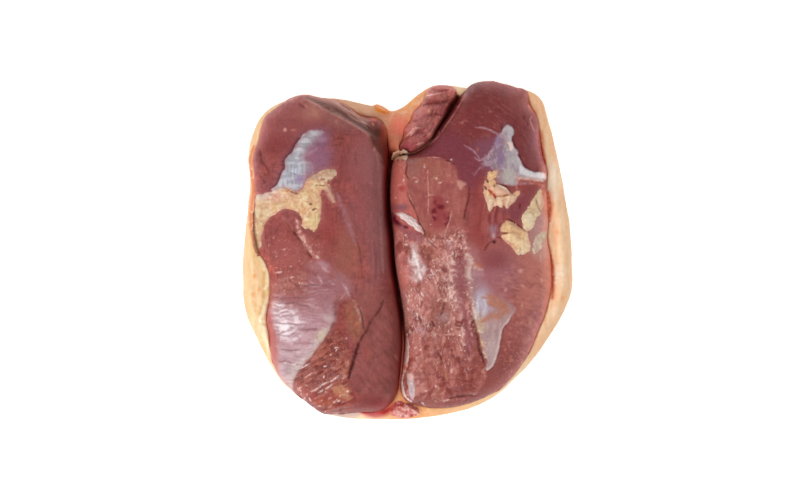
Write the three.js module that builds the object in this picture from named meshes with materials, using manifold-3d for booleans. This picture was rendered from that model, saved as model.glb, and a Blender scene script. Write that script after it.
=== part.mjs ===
// Raw double duck breast, flesh side up: two breast muscles joined by one piece of skin.
// Millimetres. +X runs across the two muscles, +Y along the cleft between them, +Z is up.
// The origin lies on the surface that the skin rests on, under the middle of the piece.

import * as THREE from 'three';
import { mergeVertices } from 'three/addons/utils/BufferGeometryUtils.js';
import Module from 'manifold-3d';

const wasm = await Module();
wasm.setup();

// ---- driving dimensions -------------------------------------------------------------

const GAP = 0.3; // clearance between pieces that touch
const SKIN_THICKNESS = 6; // the skin with its layer of fat
const MUSCLE_FLOOR = SKIN_THICKNESS + GAP; // underside of the muscles
const EDGE_HEIGHT = 1; // upright lip round the foot of a muscle

const LEFT_DEPTH = 22; // a muscle's height above its upright lip
const RIGHT_DEPTH = 22.5;
const FLAP_DEPTH = 14;

const BREAST_REACH = 38; // how far in from a gentle edge a muscle goes on rising
const FLAP_REACH = 7;

const OUTLINE_STEPS = { breast: 116, flap: 40, skin: 132 };
const NEAR_EDGE = 1.2; // nearer than this, the plain distance to the outline is used

// Outlines, clockwise from the top left: x, y and how steeply the piece rises from there,
// where 1 is a gentle outer edge and 5 the upright wall of the cleft.

const LEFT_OUTLINE = [
  [-66, 82, 1.4], [-56, 84.5, 1.8], [-47.5, 83.5, 1.8], [-39, 82, 1.6], [-31.5, 78, 1.4],
  [-25, 73.5, 1.6], [-17, 72, 2], [-11, 69.5, 3], [-10.5, 60, 4], [-10.5, 49, 5],
  [-11, 35.5, 6], [-10.5, 20.5, 6], [-9, 7, 6], [-8, -8, 6], [-6.5, -21.5, 6],
  [-4, -38, 6], [-3.5, -51.5, 5], [-3, -66, 4], [-5, -77, 3], [-9.5, -84, 2.4],
  [-17, -88, 2], [-27, -88, 1.8], [-38, -88, 1.6], [-47.5, -87, 1.6], [-57, -80.5, 1.5],
  [-65, -74.5, 1.4], [-71.5, -66, 1.3], [-74.5, -57, 1.3], [-75.5, -45.5, 1.3],
  [-77, -37.5, 1.4], [-75.5, -27, 1.2], [-75, -16, 1.1], [-77, -7.5, 1.1],
  [-81.5, 0.5, 1.1], [-83.5, 14, 1], [-83, 30, 1.1], [-84, 41, 1.3], [-85, 50.5, 1.5],
  [-83, 60, 1.5], [-79, 69, 1.5], [-73.5, 76, 1.4],
];

const RIGHT_OUTLINE = [
  [36, 91, 2.4], [44, 92.3, 2], [52, 91, 1.8], [59, 89, 1.7], [65, 87, 1.7],
  [66.5, 79.5, 1.8], [71, 72, 1.8], [72, 63, 1.7], [73.5, 52, 1.6], [76, 44, 1.6],
  [76, 34, 1.6], [76.5, 25, 1.5], [77, 15.5, 1.4], [76.5, 5.5, 1.3], [78, -3, 1.3],
  [78.5, -19, 1.3], [75.5, -33.5, 1.3], [70.5, -46, 1.3], [65.5, -57, 1.3],
  [59, -65.5, 1.3], [51.5, -73.5, 1.4], [43, -78.5, 1.5], [33, -82.5, 1.6],
  [22, -85, 1.8], [9.5, -84.5, 2], [1, -81, 2.6], [-2, -73.5, 4], [-1.7, -64, 5],
  [-1.7, -51.5, 6], [-2.2, -38, 6], [-4.5, -22.5, 6], [-7, -8, 6], [-8, 7, 6],
  [-9.5, 20.5, 6], [-10, 34.5, 5], [-8.5, 47.5, 4], [-5, 51.5, 3.5], [4, 52.5, 3.5],
  [12, 58, 3.5], [16.5, 64.5, 3.5], [21, 71, 3.5], [26, 78.5, 3.5], [29.5, 85, 3],
];

const FLAP_OUTLINE = [
  [10.5, 86, 1], [16.5, 90, 1], [22.5, 90, 1], [26, 86, 1.2], [23.5, 80, 1.4],
  [20, 74.5, 1.4], [17, 68, 1.4], [13, 62.5, 1.4], [9, 57.8, 1.4], [2.5, 54, 1.3],
  [-4, 54.5, 1.2], [-3, 60.5, 1], [-2, 67, 1], [2, 75.5, 1],
];

const SKIN_OUTLINE = [
  [-8.5, 76], [-2, 78.5], [7, 86], [17.5, 90.5], [34, 88.5], [53, 88], [65, 87.5],
  [72.5, 83], [76, 74.5], [79.5, 61], [83, 46.5], [85.5, 32], [89, 11], [89.8, -8],
  [89.6, -21.5], [85, -34], [77, -47.5], [69, -59], [58.5, -69], [48.5, -78],
  [35, -84.5], [17.5, -89], [1.5, -91.6], [-15, -92.3], [-32.5, -91.6], [-46.5, -88],
  [-57.5, -80], [-67, -73], [-74.5, -63], [-81, -50], [-87.5, -36.5], [-89.5, -25.5],
  [-90, -9.5], [-89, 5.5], [-87, 23], [-86, 38.5], [-87, 50.5], [-84.5, 63.5],
  [-79.5, 73.5], [-71.5, 79.5], [-58.5, 83.5], [-42, 83], [-28, 81], [-18, 77.5],
];

// Spines that the rings of each muscle's surface close in on: its two ends.
const LEFT_SPINE = [[-48, 46], [-38, -52]];
const RIGHT_SPINE = [[42, 52], [26, -46]];
const FLAP_SPINE = [[16, 82], [3, 60]];

// Swells and hollows of the muscles: middle x, y, radii along X and Y, and height.
const LEFT_SWELLS = [
  [-84, -10, 24, 90, -5], // thins out to the outer side
  [-40, -92, 50, 34, -5], // and to the lower end
  [-58, -28, 20, 26, 3], // lower outer lobe
  [-32, 42, 18, 30, 1.6], // upper inner lobe
  [-26, 76, 13, 9, -7], // cut end that falls away to the cleft
  [-62, 14, 14, 9, -1.6], // under the fat
];

const RIGHT_SWELLS = [
  [84, -10, 26, 90, -5], // thins out to the outer side
  [20, -92, 50, 34, -5], // and to the lower end
  [54, 56, 18, 24, 2.2], // upper outer lobe
  [10, -10, 18, 36, -1.6], // flat inner slab
  [52, -22, 18, 28, 2.4], // lower outer lobe
  [20, -30, 6, 10, -1], // hollow in the slab
];

// Seams between bundles of muscle: the points each passes, its width and its depth.
const LEFT_SEAMS = [
  { path: [[-70, 18], [-58.5, 6.5], [-51, -5]], width: 5.5, depth: 1.6 },
  { path: [[-13, -19], [-16.5, -32], [-25.5, -47.5], [-32, -68]], width: 5.5, depth: 1.2 },
];

const RIGHT_SEAMS = [
  { path: [[33, 33], [31, 20], [35, -36], [43, -64]], width: 5.5, depth: 1.1 },
];

// Fat deposits as lumps on the meat: x, y, radius and height above the meat.
const LEFT_FAT_LUMPS = [
  [-78, 25, 6.5, 1.8], [-71.5, 25, 8, 2], [-64, 26.5, 8, 2], [-57.5, 25.5, 8, 2.2],
  [-52.5, 22, 7.5, 2.2], [-52.5, 31, 7.5, 2.2], [-48.5, 36.5, 6, 2], [-43.5, 38.5, 5, 1.8],
  [-77.5, 17, 6, 1.8], [-79.5, 9, 4.5, 1.6],
];
const UPPER_FAT_LUMPS = [
  [45.5, 38.5, 4.6, 1.8], [45.5, 31.5, 5.6, 2], [46.5, 26, 5, 1.8], [53, 28, 6.4, 2],
];
const RIM_FAT_LUMPS = [[71.5, 27, 5, 1.8], [68.5, 21, 5.4, 1.8], [65.5, 15.5, 4.4, 1.6]];
const MIDDLE_FAT_LUMPS = [[55.5, 11, 5.6, 1.8], [61, 8.5, 5.6, 2], [60, 2.5, 5.8, 1.8]];
const EDGE_FAT_LUMPS = [[72.5, 6.5, 3.8, 1.6], [69.5, 3.5, 3.6, 1.4]];
const FAT_CURL_LUMPS = [[-4.5, 51, 3.4, 2.2], [-1, 51.2, 3, 2]];
const CARTILAGE_LUMPS = [[3, -69, 3, 1.8], [3.5, -74, 3.4, 2], [2.8, -79, 3, 1.6]];
const TISSUE_LUMPS = [[-3, -84.5, 3.6, 5], [0.5, -87, 3.8, 4], [5, -88, 3, 3]];
const LUMP_DETAIL = 1; // how often each face of a lump's icosahedron is split
const LUMP_SINK = 0.8; // depth of a lump's middle under the surface it lies on

// White tendon on the inner slab: the points it passes and its half width.
const TENDON_PATH = [[-5.5, 19.5], [-0.5, 17.5], [4, 13.5], [8.5, 9.5]];
const TENDON_RADIUS = 1.7;

// Orange lump of fat on the skin at the notch between the muscles.
const NOTCH_FAT = { x: -13, y: 76, radius: 3.4, height: 2 };

// ---- materials ----------------------------------------------------------------------

function material(color, roughness) {
  return new THREE.MeshStandardMaterial({ color, roughness, metalness: 0 });
}

const MEAT = material(0x8e4c4a, 0.4);
const FLAP_MEAT = material(0x9a5754, 0.4);
const FAT = material(0xe2bd8f, 0.5);
const SKIN = material(0xefc69c, 0.55);
const SINEW = material(0xdcc9c4, 0.35);
const RAW_TISSUE = material(0xcf857c, 0.4);

// ---- outlines and heights -----------------------------------------------------------

// A closed smooth outline through the given points; z carries the steepness.
function sampleOutline(points, count) {
  const corners = points.map(([x, y, steepness = 1]) => new THREE.Vector3(x, y, steepness));
  return new THREE.CatmullRomCurve3(corners, true, 'catmullrom').getSpacedPoints(count).slice(0, count);
}

// Distance in from an outline, weighted by its steepness. Every stretch of the outline
// counts by the inverse cube of its distance, so the result has no creases, and near a
// straight edge it is the plain distance times the steepness there.
function makeInset(points) {
  const samples = sampleOutline(points, 600);
  const step = samples[0].clone().setZ(0).distanceTo(samples[1].clone().setZ(0));
  return (x, y) => {
    let pull = 0;
    let nearest = Infinity;
    let steepness = 1;
    for (const sample of samples) {
      const distance = Math.hypot(sample.x - x, sample.y - y);
      if (distance < nearest) {
        nearest = distance;
        steepness = sample.z;
      }
      pull += step / (sample.z ** 2 * distance ** 3);
    }
    return nearest < NEAR_EDGE ? nearest * steepness : Math.sqrt(2 / pull);
  };
}

// Quarter of an ellipse: upright at the edge and level from the reach on.
function roundShoulder(inset, reach) {
  const inward = Math.min(inset / reach, 1);
  return Math.sqrt(1 - (1 - inward) ** 2);
}

function swellAt(x, y, swells) {
  let height = 0;
  for (const [middleX, middleY, radiusX, radiusY, rise] of swells) {
    const away = ((x - middleX) / radiusX) ** 2 + ((y - middleY) / radiusY) ** 2;
    height += rise * Math.exp(-away);
  }
  return height;
}

function distanceToPath(x, y, path) {
  let nearest = Infinity;
  for (let i = 1; i < path.length; i += 1) {
    const [startX, startY] = path[i - 1];
    const [endX, endY] = path[i];
    const length2 = (endX - startX) ** 2 + (endY - startY) ** 2;
    const along = ((x - startX) * (endX - startX) + (y - startY) * (endY - startY)) / length2;
    const t = THREE.MathUtils.clamp(along, 0, 1);
    const distance = Math.hypot(startX + t * (endX - startX) - x, startY + t * (endY - startY) - y);
    nearest = Math.min(nearest, distance);
  }
  return nearest;
}

function seamAt(x, y, seams) {
  let depth = 0;
  for (const seam of seams) {
    depth += seam.depth * Math.exp(-((distanceToPath(x, y, seam.path) / seam.width) ** 2));
  }
  return depth;
}

// Top surface of a muscle as a function of x and y.
function makeTop(outline, depth, reach, swells = [], seams = []) {
  const insetAt = makeInset(outline);
  return (x, y) => {
    const shoulder = roundShoulder(insetAt(x, y), reach);
    const relief = swellAt(x, y, swells) - seamAt(x, y, seams);
    return MUSCLE_FLOOR + EDGE_HEIGHT + shoulder * (depth + relief);
  };
}

// ---- solids -------------------------------------------------------------------------

// Closed mesh from rings of equal length that run clockwise, bottom first. The bottom ring
// is filled flat, and the top ring by the given function.
function skinRings(rings, fillTop) {
  const count = rings[0].length;
  const positions = rings.flat().flatMap((point) => [point.x, point.y, point.z]);
  const faces = [];
  for (let ring = 1; ring < rings.length; ring += 1) {
    for (let i = 0; i < count; i += 1) {
      const next = (i + 1) % count;
      const lower = (ring - 1) * count;
      const upper = ring * count;
      faces.push(lower + i, upper + i, upper + next);
      faces.push(lower + i, upper + next, lower + next);
    }
  }
  const last = (rings.length - 1) * count;
  for (const [a, b, c] of fillFlat(rings[0])) faces.push(a, b, c);
  for (const [a, b, c] of fillTop(rings[rings.length - 1])) faces.push(last + a, last + c, last + b);
  const geometry = new THREE.BufferGeometry();
  geometry.setAttribute('position', new THREE.Float32BufferAttribute(positions, 3));
  geometry.setIndex(faces);
  return geometry;
}

// Triangles that fill a flat clockwise ring, wound as the ring is.
function fillFlat(ring) {
  const flat = ring.map((point) => new THREE.Vector2(point.x, point.y));
  return THREE.ShapeUtils.triangulateShape(flat, []).map((face) => {
    const [a, b, c] = face.map((index) => flat[index]);
    const turnsLeft = (b.x - a.x) * (c.y - a.y) - (b.y - a.y) * (c.x - a.x) > 0;
    return turnsLeft ? [face[2], face[1], face[0]] : face;
  });
}

// Triangles across a long narrow ring, laced from side to side along its spine.
function laceAlong(spine) {
  const [[startX, startY], [endX, endY]] = spine;
  return (ring) => {
    const along = ring.map((point) => (
      (point.x - startX) * (startX - endX) + (point.y - startY) * (startY - endY)));
    const count = ring.length;
    let right = along.indexOf(Math.max(...along));
    let left = (right + count - 1) % count;
    const faces = [];
    while (faces.length < count - 2) {
      const nextRight = (right + 1) % count;
      const nextLeft = (left + count - 1) % count;
      if (along[nextRight] > along[nextLeft]) {
        faces.push([left, right, nextRight]);
        right = nextRight;
      } else {
        faces.push([left, right, nextLeft]);
        left = nextLeft;
      }
    }
    return faces;
  };
}

function nearestOnSpine(x, y, [[startX, startY], [endX, endY]]) {
  const length2 = (endX - startX) ** 2 + (endY - startY) ** 2;
  const along = ((x - startX) * (endX - startX) + (y - startY) * (endY - startY)) / length2;
  const t = THREE.MathUtils.clamp(along, 0, 1);
  return [startX + t * (endX - startX), startY + t * (endY - startY)];
}

// A muscle: a flat foot, a short upright lip, then rings that close in on the spine.
const RING_STEPS = [0.008, 0.03, 0.07, 0.13, 0.21, 0.31, 0.43, 0.57, 0.74, 0.95];

function makeMuscle(outlinePoints, steps, spine, topAt) {
  const outline = sampleOutline(outlinePoints, steps);
  const rings = [
    outline.map((point) => new THREE.Vector3(point.x, point.y, MUSCLE_FLOOR)),
    outline.map((point) => new THREE.Vector3(point.x, point.y, MUSCLE_FLOOR + EDGE_HEIGHT)),
  ];
  for (const inward of RING_STEPS) {
    rings.push(outline.map((point) => {
      const [spineX, spineY] = nearestOnSpine(point.x, point.y, spine);
      const x = THREE.MathUtils.lerp(point.x, spineX, inward);
      const y = THREE.MathUtils.lerp(point.y, spineY, inward);
      return new THREE.Vector3(x, y, topAt(x, y));
    }));
  }
  return skinRings(rings, laceAlong(spine));
}

// The skin: flat below, with a rounded, slightly wavy rim. Each row of the rim's section
// is the distance in from the outline and the height there.
const RIM_SECTION = [
  [9, 0], [4, 0.7], [1, 2], [0, 3.4], [0.6, 4.8], [2, 5.6], [4.5, SKIN_THICKNESS],
];
const RIM_WAVES = [[5, 0.35], [11, 0.3], [17, 0.2]]; // waves round the rim and their height

function makeSkin() {
  const outline = sampleOutline(SKIN_OUTLINE, OUTLINE_STEPS.skin);
  return skinRings(RIM_SECTION.map(([inset, height]) => outline.map((point, i) => {
    const turn = (2 * Math.PI * i) / outline.length;
    const wave = RIM_WAVES.reduce((sum, [waves, size]) => sum + size * Math.cos(waves * turn), 0);
    const free = height > 0 && height < SKIN_THICKNESS;
    const radius = Math.hypot(point.x, point.y);
    const scale = (radius - inset) / radius;
    const sag = free ? Math.max(wave, 0) * (height / SKIN_THICKNESS) : 0;
    return new THREE.Vector3(point.x * scale, point.y * scale, height - sag);
  })), fillFlat);
}

function toSolid(geometry) {
  const plain = geometry.clone();
  plain.deleteAttribute('normal');
  plain.deleteAttribute('uv');
  const merged = mergeVertices(plain, 1e-4);
  return new wasm.Manifold(new wasm.Mesh({
    numProp: 3,
    vertProperties: new Float32Array(merged.attributes.position.array),
    triVerts: new Uint32Array(merged.index.array),
  }));
}

function toGeometry(solid) {
  const mesh = solid.getMesh();
  const geometry = new THREE.BufferGeometry();
  geometry.setAttribute('position', new THREE.BufferAttribute(mesh.vertProperties, 3));
  geometry.setIndex(new THREE.BufferAttribute(mesh.triVerts, 1));
  return geometry;
}

// Cuts a neighbour away, and the clearance to it on all sides.
function clearOf(solid, neighbour) {
  let left = solid;
  for (const axis of [0, 1, 2]) {
    for (const side of [-GAP, GAP]) {
      const shift = [0, 0, 0];
      shift[axis] = side;
      left = left.subtract(neighbour.translate(shift));
    }
  }
  return largestBody(left);
}

// Drops the scraps that a cut leaves.
function largestBody(solid) {
  return solid.decompose().reduce((a, b) => (a.volume() > b.volume() ? a : b));
}

// The way a surface faces at a point, from its height one millimetre to each side.
function facing(groundAt, x, y) {
  const riseX = groundAt(x + 1, y) - groundAt(x - 1, y);
  const riseY = groundAt(x, y + 1) - groundAt(x, y - 1);
  return new THREE.Vector3(-riseX, -riseY, 2).normalize();
}

// Flattened balls joined into one lumpy deposit, each lying on the meat with its middle
// sunk a little into it.
function makeLumps(lumps, groundAt) {
  const up = new THREE.Vector3(0, 0, 1);
  return lumps.map(([x, y, radius, height]) => {
    const ball = new THREE.IcosahedronGeometry(1, LUMP_DETAIL);
    ball.scale(radius, radius, height + LUMP_SINK);
    ball.applyQuaternion(new THREE.Quaternion().setFromUnitVectors(up, facing(groundAt, x, y)));
    ball.translate(x, y, groundAt(x, y) - LUMP_SINK);
    return toSolid(ball);
  }).reduce((joined, ball) => joined.add(ball));
}

function makeTendon(groundAt) {
  const points = TENDON_PATH.map(([x, y]) => new THREE.Vector3(x, y, groundAt(x, y)));
  const section = new THREE.Shape().absarc(0, 0, TENDON_RADIUS, 0, 2 * Math.PI);
  const tube = new THREE.ExtrudeGeometry(section, {
    extrudePath: new THREE.CatmullRomCurve3(points),
    steps: 10,
    curveSegments: 4,
    bevelEnabled: false,
  });
  return toSolid(tube);
}

// ---- the breast ---------------------------------------------------------------------

const leftTop = makeTop(LEFT_OUTLINE, LEFT_DEPTH, BREAST_REACH, LEFT_SWELLS, LEFT_SEAMS);
const rightTop = makeTop(RIGHT_OUTLINE, RIGHT_DEPTH, BREAST_REACH, RIGHT_SWELLS, RIGHT_SEAMS);
const flapTop = makeTop(FLAP_OUTLINE, FLAP_DEPTH, FLAP_REACH);

const leftMuscle = toSolid(makeMuscle(LEFT_OUTLINE, OUTLINE_STEPS.breast, LEFT_SPINE, leftTop));
const rightMuscle = toSolid(makeMuscle(RIGHT_OUTLINE, OUTLINE_STEPS.breast, RIGHT_SPINE, rightTop));
const flapMuscle = toSolid(makeMuscle(FLAP_OUTLINE, OUTLINE_STEPS.flap, FLAP_SPINE, flapTop));

const notchFat = makeLumps(
  [[NOTCH_FAT.x, NOTCH_FAT.y, NOTCH_FAT.radius, NOTCH_FAT.height]],
  () => SKIN_THICKNESS,
);
const skin = toSolid(makeSkin()).add(clearOf(notchFat, leftMuscle));

const onSkin = () => MUSCLE_FLOOR;
const tissue = clearOf(clearOf(clearOf(makeLumps(TISSUE_LUMPS, onSkin), leftMuscle), rightMuscle), skin);
const curl = clearOf(clearOf(makeLumps(FAT_CURL_LUMPS, rightTop), rightMuscle), flapMuscle);

const breast = new THREE.Group();

function addPiece(name, solid, look) {
  const piece = new THREE.Mesh(toGeometry(solid), look);
  piece.name = name;
  breast.add(piece);
}

addPiece('skin', skin, SKIN);
addPiece('left_breast', leftMuscle, MEAT);
addPiece('right_breast', rightMuscle, MEAT);
addPiece('flap_muscle', flapMuscle, FLAP_MEAT);
addPiece('left_fat', clearOf(makeLumps(LEFT_FAT_LUMPS, leftTop), leftMuscle), FAT);
addPiece('right_fat_upper', clearOf(makeLumps(UPPER_FAT_LUMPS, rightTop), rightMuscle), FAT);
addPiece('right_fat_rim', clearOf(makeLumps(RIM_FAT_LUMPS, rightTop), rightMuscle), FAT);
addPiece('right_fat_middle', clearOf(makeLumps(MIDDLE_FAT_LUMPS, rightTop), rightMuscle), FAT);
addPiece('right_fat_edge', clearOf(makeLumps(EDGE_FAT_LUMPS, rightTop), rightMuscle), FAT);
addPiece('fat_curl', curl, FAT);
addPiece('tendon', clearOf(makeTendon(rightTop), rightMuscle), SINEW);
addPiece('cartilage', clearOf(makeLumps(CARTILAGE_LUMPS, rightTop), rightMuscle), SINEW);
addPiece('loose_tissue', tissue, RAW_TISSUE);

export default breast;
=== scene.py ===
"""Raw double duck breast, flesh side up: the looks of its meat, films, fat, sinew and skin.

Sizes and places are in millimetres in the part's own frame, and become metres when a mesh
is made. Colours are written as they show, 0 to 255 for red, green and blue.
"""
import math

import bpy
import numpy as np
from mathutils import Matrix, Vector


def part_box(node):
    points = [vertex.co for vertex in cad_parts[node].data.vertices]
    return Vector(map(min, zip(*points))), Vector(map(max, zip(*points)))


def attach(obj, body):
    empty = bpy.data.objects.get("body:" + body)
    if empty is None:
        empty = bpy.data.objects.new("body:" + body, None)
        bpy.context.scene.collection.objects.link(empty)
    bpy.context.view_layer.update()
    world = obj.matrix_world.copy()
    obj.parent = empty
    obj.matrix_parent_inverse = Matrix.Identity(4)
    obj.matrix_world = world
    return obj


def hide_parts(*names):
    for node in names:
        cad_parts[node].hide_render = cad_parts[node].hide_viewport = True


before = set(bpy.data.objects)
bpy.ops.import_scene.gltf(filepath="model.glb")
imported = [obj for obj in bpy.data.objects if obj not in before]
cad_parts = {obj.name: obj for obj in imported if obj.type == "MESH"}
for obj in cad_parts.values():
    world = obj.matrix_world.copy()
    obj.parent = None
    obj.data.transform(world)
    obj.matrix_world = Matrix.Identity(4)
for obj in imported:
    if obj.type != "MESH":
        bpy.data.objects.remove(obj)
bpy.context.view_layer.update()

MM = 0.001
GAP = 0.3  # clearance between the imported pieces
SKIN_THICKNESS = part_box("left_breast")[0][2] / MM - GAP
MUSCLE_FLOOR = SKIN_THICKNESS + GAP
EDGE_HEIGHT = 1.0  # upright lip round the foot of a muscle
NEAR_EDGE = 1.2  # nearer than this, the plain distance to the outline is used
PATCH_ROOT = 1.2  # how far a patch reaches down into what it lies on
UNDER_MEAT = -1.3  # further in than this under a muscle, the skin lies flat
CLOSING = 0.97  # share of the way to the spine that a piece's rings close in
NOISE_CELLS = 64  # size of the table that noise is drawn from
CHUNK = 4000  # places worked out at a time, to save memory

# ---- outlines, clockwise: x and y, and for a muscle how steeply it rises there -----------

LEFT_OUTLINE = [
    (-66.6, 81.4, 1.4), (-61.5, 84, 1.6), (-55, 84.9, 1.8), (-47.5, 83.5, 1.8), (-39, 82, 1.6),
    (-31.5, 78, 1.4),
    (-25, 73.5, 1.5), (-17.5, 72.3, 1.5), (-12.6, 68.6, 1.6), (-10.8, 60, 2.2), (-10.2, 49, 3.2),
    (-10.6, 35.5, 3.4), (-10.1, 20.5, 3.4), (-8.6, 7, 3.4), (-7.6, -8, 3.4), (-5.6, -21.5, 3.4),
    (-3.2, -38, 3.4), (-2.9, -51.5, 3.4), (-4, -65, 3), (-5.6, -76.5, 2.6), (-9.5, -84, 2.2),
    (-17, -87.8, 2), (-27, -88.2, 1.8), (-38, -89.2, 1.6), (-47.5, -88.2, 1.6), (-57, -81, 1.5),
    (-65, -74.5, 1.4), (-71.5, -66, 1.3), (-74.5, -57, 1.3), (-75.5, -45.5, 1.3),
    (-77, -37.5, 1.4), (-75.5, -27, 1.2), (-75, -16, 1.1), (-77, -7.5, 1.1),
    (-81.5, 0.5, 1.1), (-83.5, 14, 1), (-83, 30, 1.1), (-83.6, 41, 1.3), (-84.2, 50.5, 1.5),
    (-81.4, 60, 1.5), (-79.4, 67, 1.5), (-77.6, 72.4, 1.5), (-73.4, 76.4, 1.4),
]
RIGHT_OUTLINE = [
    (36, 91, 2.4), (44, 92.3, 2), (52, 91, 1.8), (59, 89, 1.7), (65, 87, 1.7),
    (66.5, 79.5, 1.8), (71, 72, 1.8), (72, 63, 1.7), (73.5, 52, 1.6), (76, 44, 1.6),
    (76, 34, 1.6), (76.5, 25, 1.5), (77, 15.5, 1.4), (76.5, 5.5, 1.3), (78, -3, 1.3),
    (78.5, -19, 1.3), (75.5, -33.5, 1.3), (70.5, -46, 1.3), (65.5, -57, 1.3),
    (59.4, -66, 1.3), (52.2, -74.2, 1.4), (43.6, -79.3, 1.5), (33.4, -83.4, 1.6),
    (22, -85.8, 1.8), (9.5, -85.4, 2), (2, -83.4, 2.4), (-2.6, -79.4, 3), (-3.9, -73, 4), (-3, -65, 5),
    (-1.7, -51.5, 6), (-2.2, -38, 6), (-4.5, -22.5, 6), (-7, -8, 6), (-8, 7, 6),
    (-9.5, 20.5, 6), (-10, 34.5, 5), (-8.5, 47.5, 4), (-5, 51.5, 3.5), (4, 53, 4.5),
    (11.6, 58.4, 5), (16, 64.8, 5), (20.6, 71.2, 5), (25.8, 78.8, 5), (29.5, 85, 3.5),
]
FLAP_OUTLINE = [
    (9.8, 84.5, 1), (11.8, 88.4, 1), (17, 90.3, 1), (23.2, 89.8, 1), (27, 86.4, 1.8), (25.6, 81.6, 2.4),
    (22.8, 77.6, 2.4), (20.8, 73, 2.4), (18.6, 69.4, 2.4), (16.2, 65.2, 2.4), (13.8, 61, 2.4),
    (9.6, 56.6, 2.4), (2.6, 53.2, 1.8), (-3.2, 53.4, 1.2), (-4.6, 57, 1), (-2.4, 61, 1), (-1.8, 66, 1),
    (1.4, 70.5, 1), (3.4, 75.6, 1), (7.2, 79.2, 1),
]
SKIN_OUTLINE = [
    (-8.5, 76), (-2, 78.5), (7, 86), (17.5, 90.5), (34, 88.5), (53, 88), (65, 87.5),
    (72.5, 83), (76, 74.5), (79.5, 61), (83, 46.5), (85.5, 32), (89, 11), (89.8, -8),
    (89.6, -21.5), (85, -34), (77, -47.5), (69, -59), (58.9, -69.6), (49, -78.8),
    (35.5, -85.8), (18, -90), (1.5, -92), (-15, -92.3), (-32.5, -91.6), (-46.5, -88),
    (-57.5, -80), (-67, -73), (-74.5, -63), (-81, -50), (-87.5, -36.5), (-89.5, -25.5),
    (-90, -9.5), (-89, 5.5), (-87, 23), (-86, 38.5), (-87, 50.5), (-84.5, 63.5),
    (-79.5, 73.5), (-71.5, 79.5), (-58.5, 83.5), (-42, 83), (-28, 81), (-20, 79), (-16.4, 79.6), (-12.4, 78),
]
LEFT_SPINE = ((-48, 46), (-38, -52))
RIGHT_SPINE = ((42, 52), (26, -46))
FLAP_SPINE = ((16, 82), (3, 60))
SKIN_SPINE = ((0, 40), (0, -40))

# Swells and hollows: middle x, y, radii along X and Y, and height.
LEFT_SWELLS = [
    (-84, -10, 24, 90, -5), (-40, -92, 50, 34, -5), (-58, -28, 20, 26, 3),
    (-32, 42, 18, 30, 1.6), (-26, 76, 13, 9, -7), (-62, 14, 14, 9, -1.6),
]
RIGHT_SWELLS = [
    (84, -10, 26, 90, -5), (20, -92, 50, 34, -5), (54, 56, 18, 24, 2.2),
    (10, -10, 18, 36, -1.6), (52, -22, 18, 28, 2.4), (20, -30, 6, 10, -1),
]

# ---- fields over x and y -----------------------------------------------------------------


def smooth(low, high, value):
    """Goes from 0 at low to 1 at high without corners."""
    t = np.clip((value - low) / (high - low), 0, 1)
    return t * t * (3 - 2 * t)


def spline(points, count, closed=True):
    """Evenly spaced points on a smooth curve through the given ones, with all their columns."""
    knots = np.array(points, float)
    if closed:
        around = np.vstack([knots[-1:], knots, knots[:2]])
    else:
        around = np.vstack([2 * knots[:1] - knots[1:2], knots, 2 * knots[-1:] - knots[-2:-1]])
    t = np.linspace(0, 1, 16, endpoint=False)[:, None]
    pieces = []
    for a, b, c, d in zip(around, around[1:], around[2:], around[3:]):
        cubic = 2 * b + (c - a) * t + (2 * a - 5 * b + 4 * c - d) * t**2
        pieces.append((cubic + (3 * b - a - 3 * c + d) * t**3) / 2)
    pieces.append(around[-2:-1])
    fine = np.vstack(pieces)
    run = np.concatenate([[0], np.cumsum(np.hypot(*np.diff(fine[:, :2], axis=0).T))])
    even = np.linspace(0, run[-1], count, endpoint=not closed)
    return np.column_stack([np.interp(even, run, column) for column in fine.T])


def noise(x, y, size, seed):
    """Smooth random field from about -1 to 1, with features of the given size."""
    table = np.random.RandomState(seed).uniform(-1, 1, (NOISE_CELLS, NOISE_CELLS))
    u, v = x / size + 500, y / size + 500
    i, j = np.floor(u).astype(int), np.floor(v).astype(int)
    f, g = u - i, v - j
    f, g = f * f * f * (f * (6 * f - 15) + 10), g * g * g * (g * (6 * g - 15) + 10)
    west, east, south, north = (k % NOISE_CELLS for k in (i, i + 1, j, j + 1))
    here, right = table[west, south], table[east, south]
    above, across = table[west, north], table[east, north]
    return (here * (1 - f) + right * f) * (1 - g) + (above * (1 - f) + across * f) * g


def cloud(x, y, size, octaves, seed):
    """Noise of several sizes, each half the one before."""
    total, weight = 0, 0
    for octave in range(octaves):
        part = 0.55**octave
        total = total + part * noise(x + 31 * octave, y - 17 * octave, size / 2**octave, seed + octave)
        weight += part
    return total / weight


def streaks(x, y, centre, width, length, seed):
    """Noise drawn out along circles round a centre, as muscle fibres are."""
    dx, dy = x - centre[0], y - centre[1]
    radius = np.hypot(dx, dy)
    mean = max(radius.mean(), 1)
    along = np.arctan2(dy, dx) * mean
    bend = 0.8 * noise(x, y, 7, seed + 50)
    fine = noise((radius + bend) / width, along / length, 1, seed)
    finer = noise((radius + bend) / width * 2.1, along / length * 1.7, 1, seed + 1)
    return 0.65 * fine + 0.35 * finer


def path_distance(x, y, path):
    """Distance to a smooth path, and how far along it the nearest point is, from 0 to 1."""
    line = spline(path, 4 * len(path), closed=False)
    best = np.full(x.shape, np.inf)
    along = np.zeros(x.shape)
    steps = len(line) - 1
    for k in range(steps):
        (ax, ay), (bx, by) = line[k], line[k + 1]
        t = ((x - ax) * (bx - ax) + (y - ay) * (by - ay)) / ((bx - ax)**2 + (by - ay)**2)
        t = np.clip(t, 0, 1)
        distance = np.hypot(ax + t * (bx - ax) - x, ay + t * (by - ay) - y)
        closer = distance < best
        best = np.where(closer, distance, best)
        along = np.where(closer, (k + t) / steps, along)
    return best, along


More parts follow.
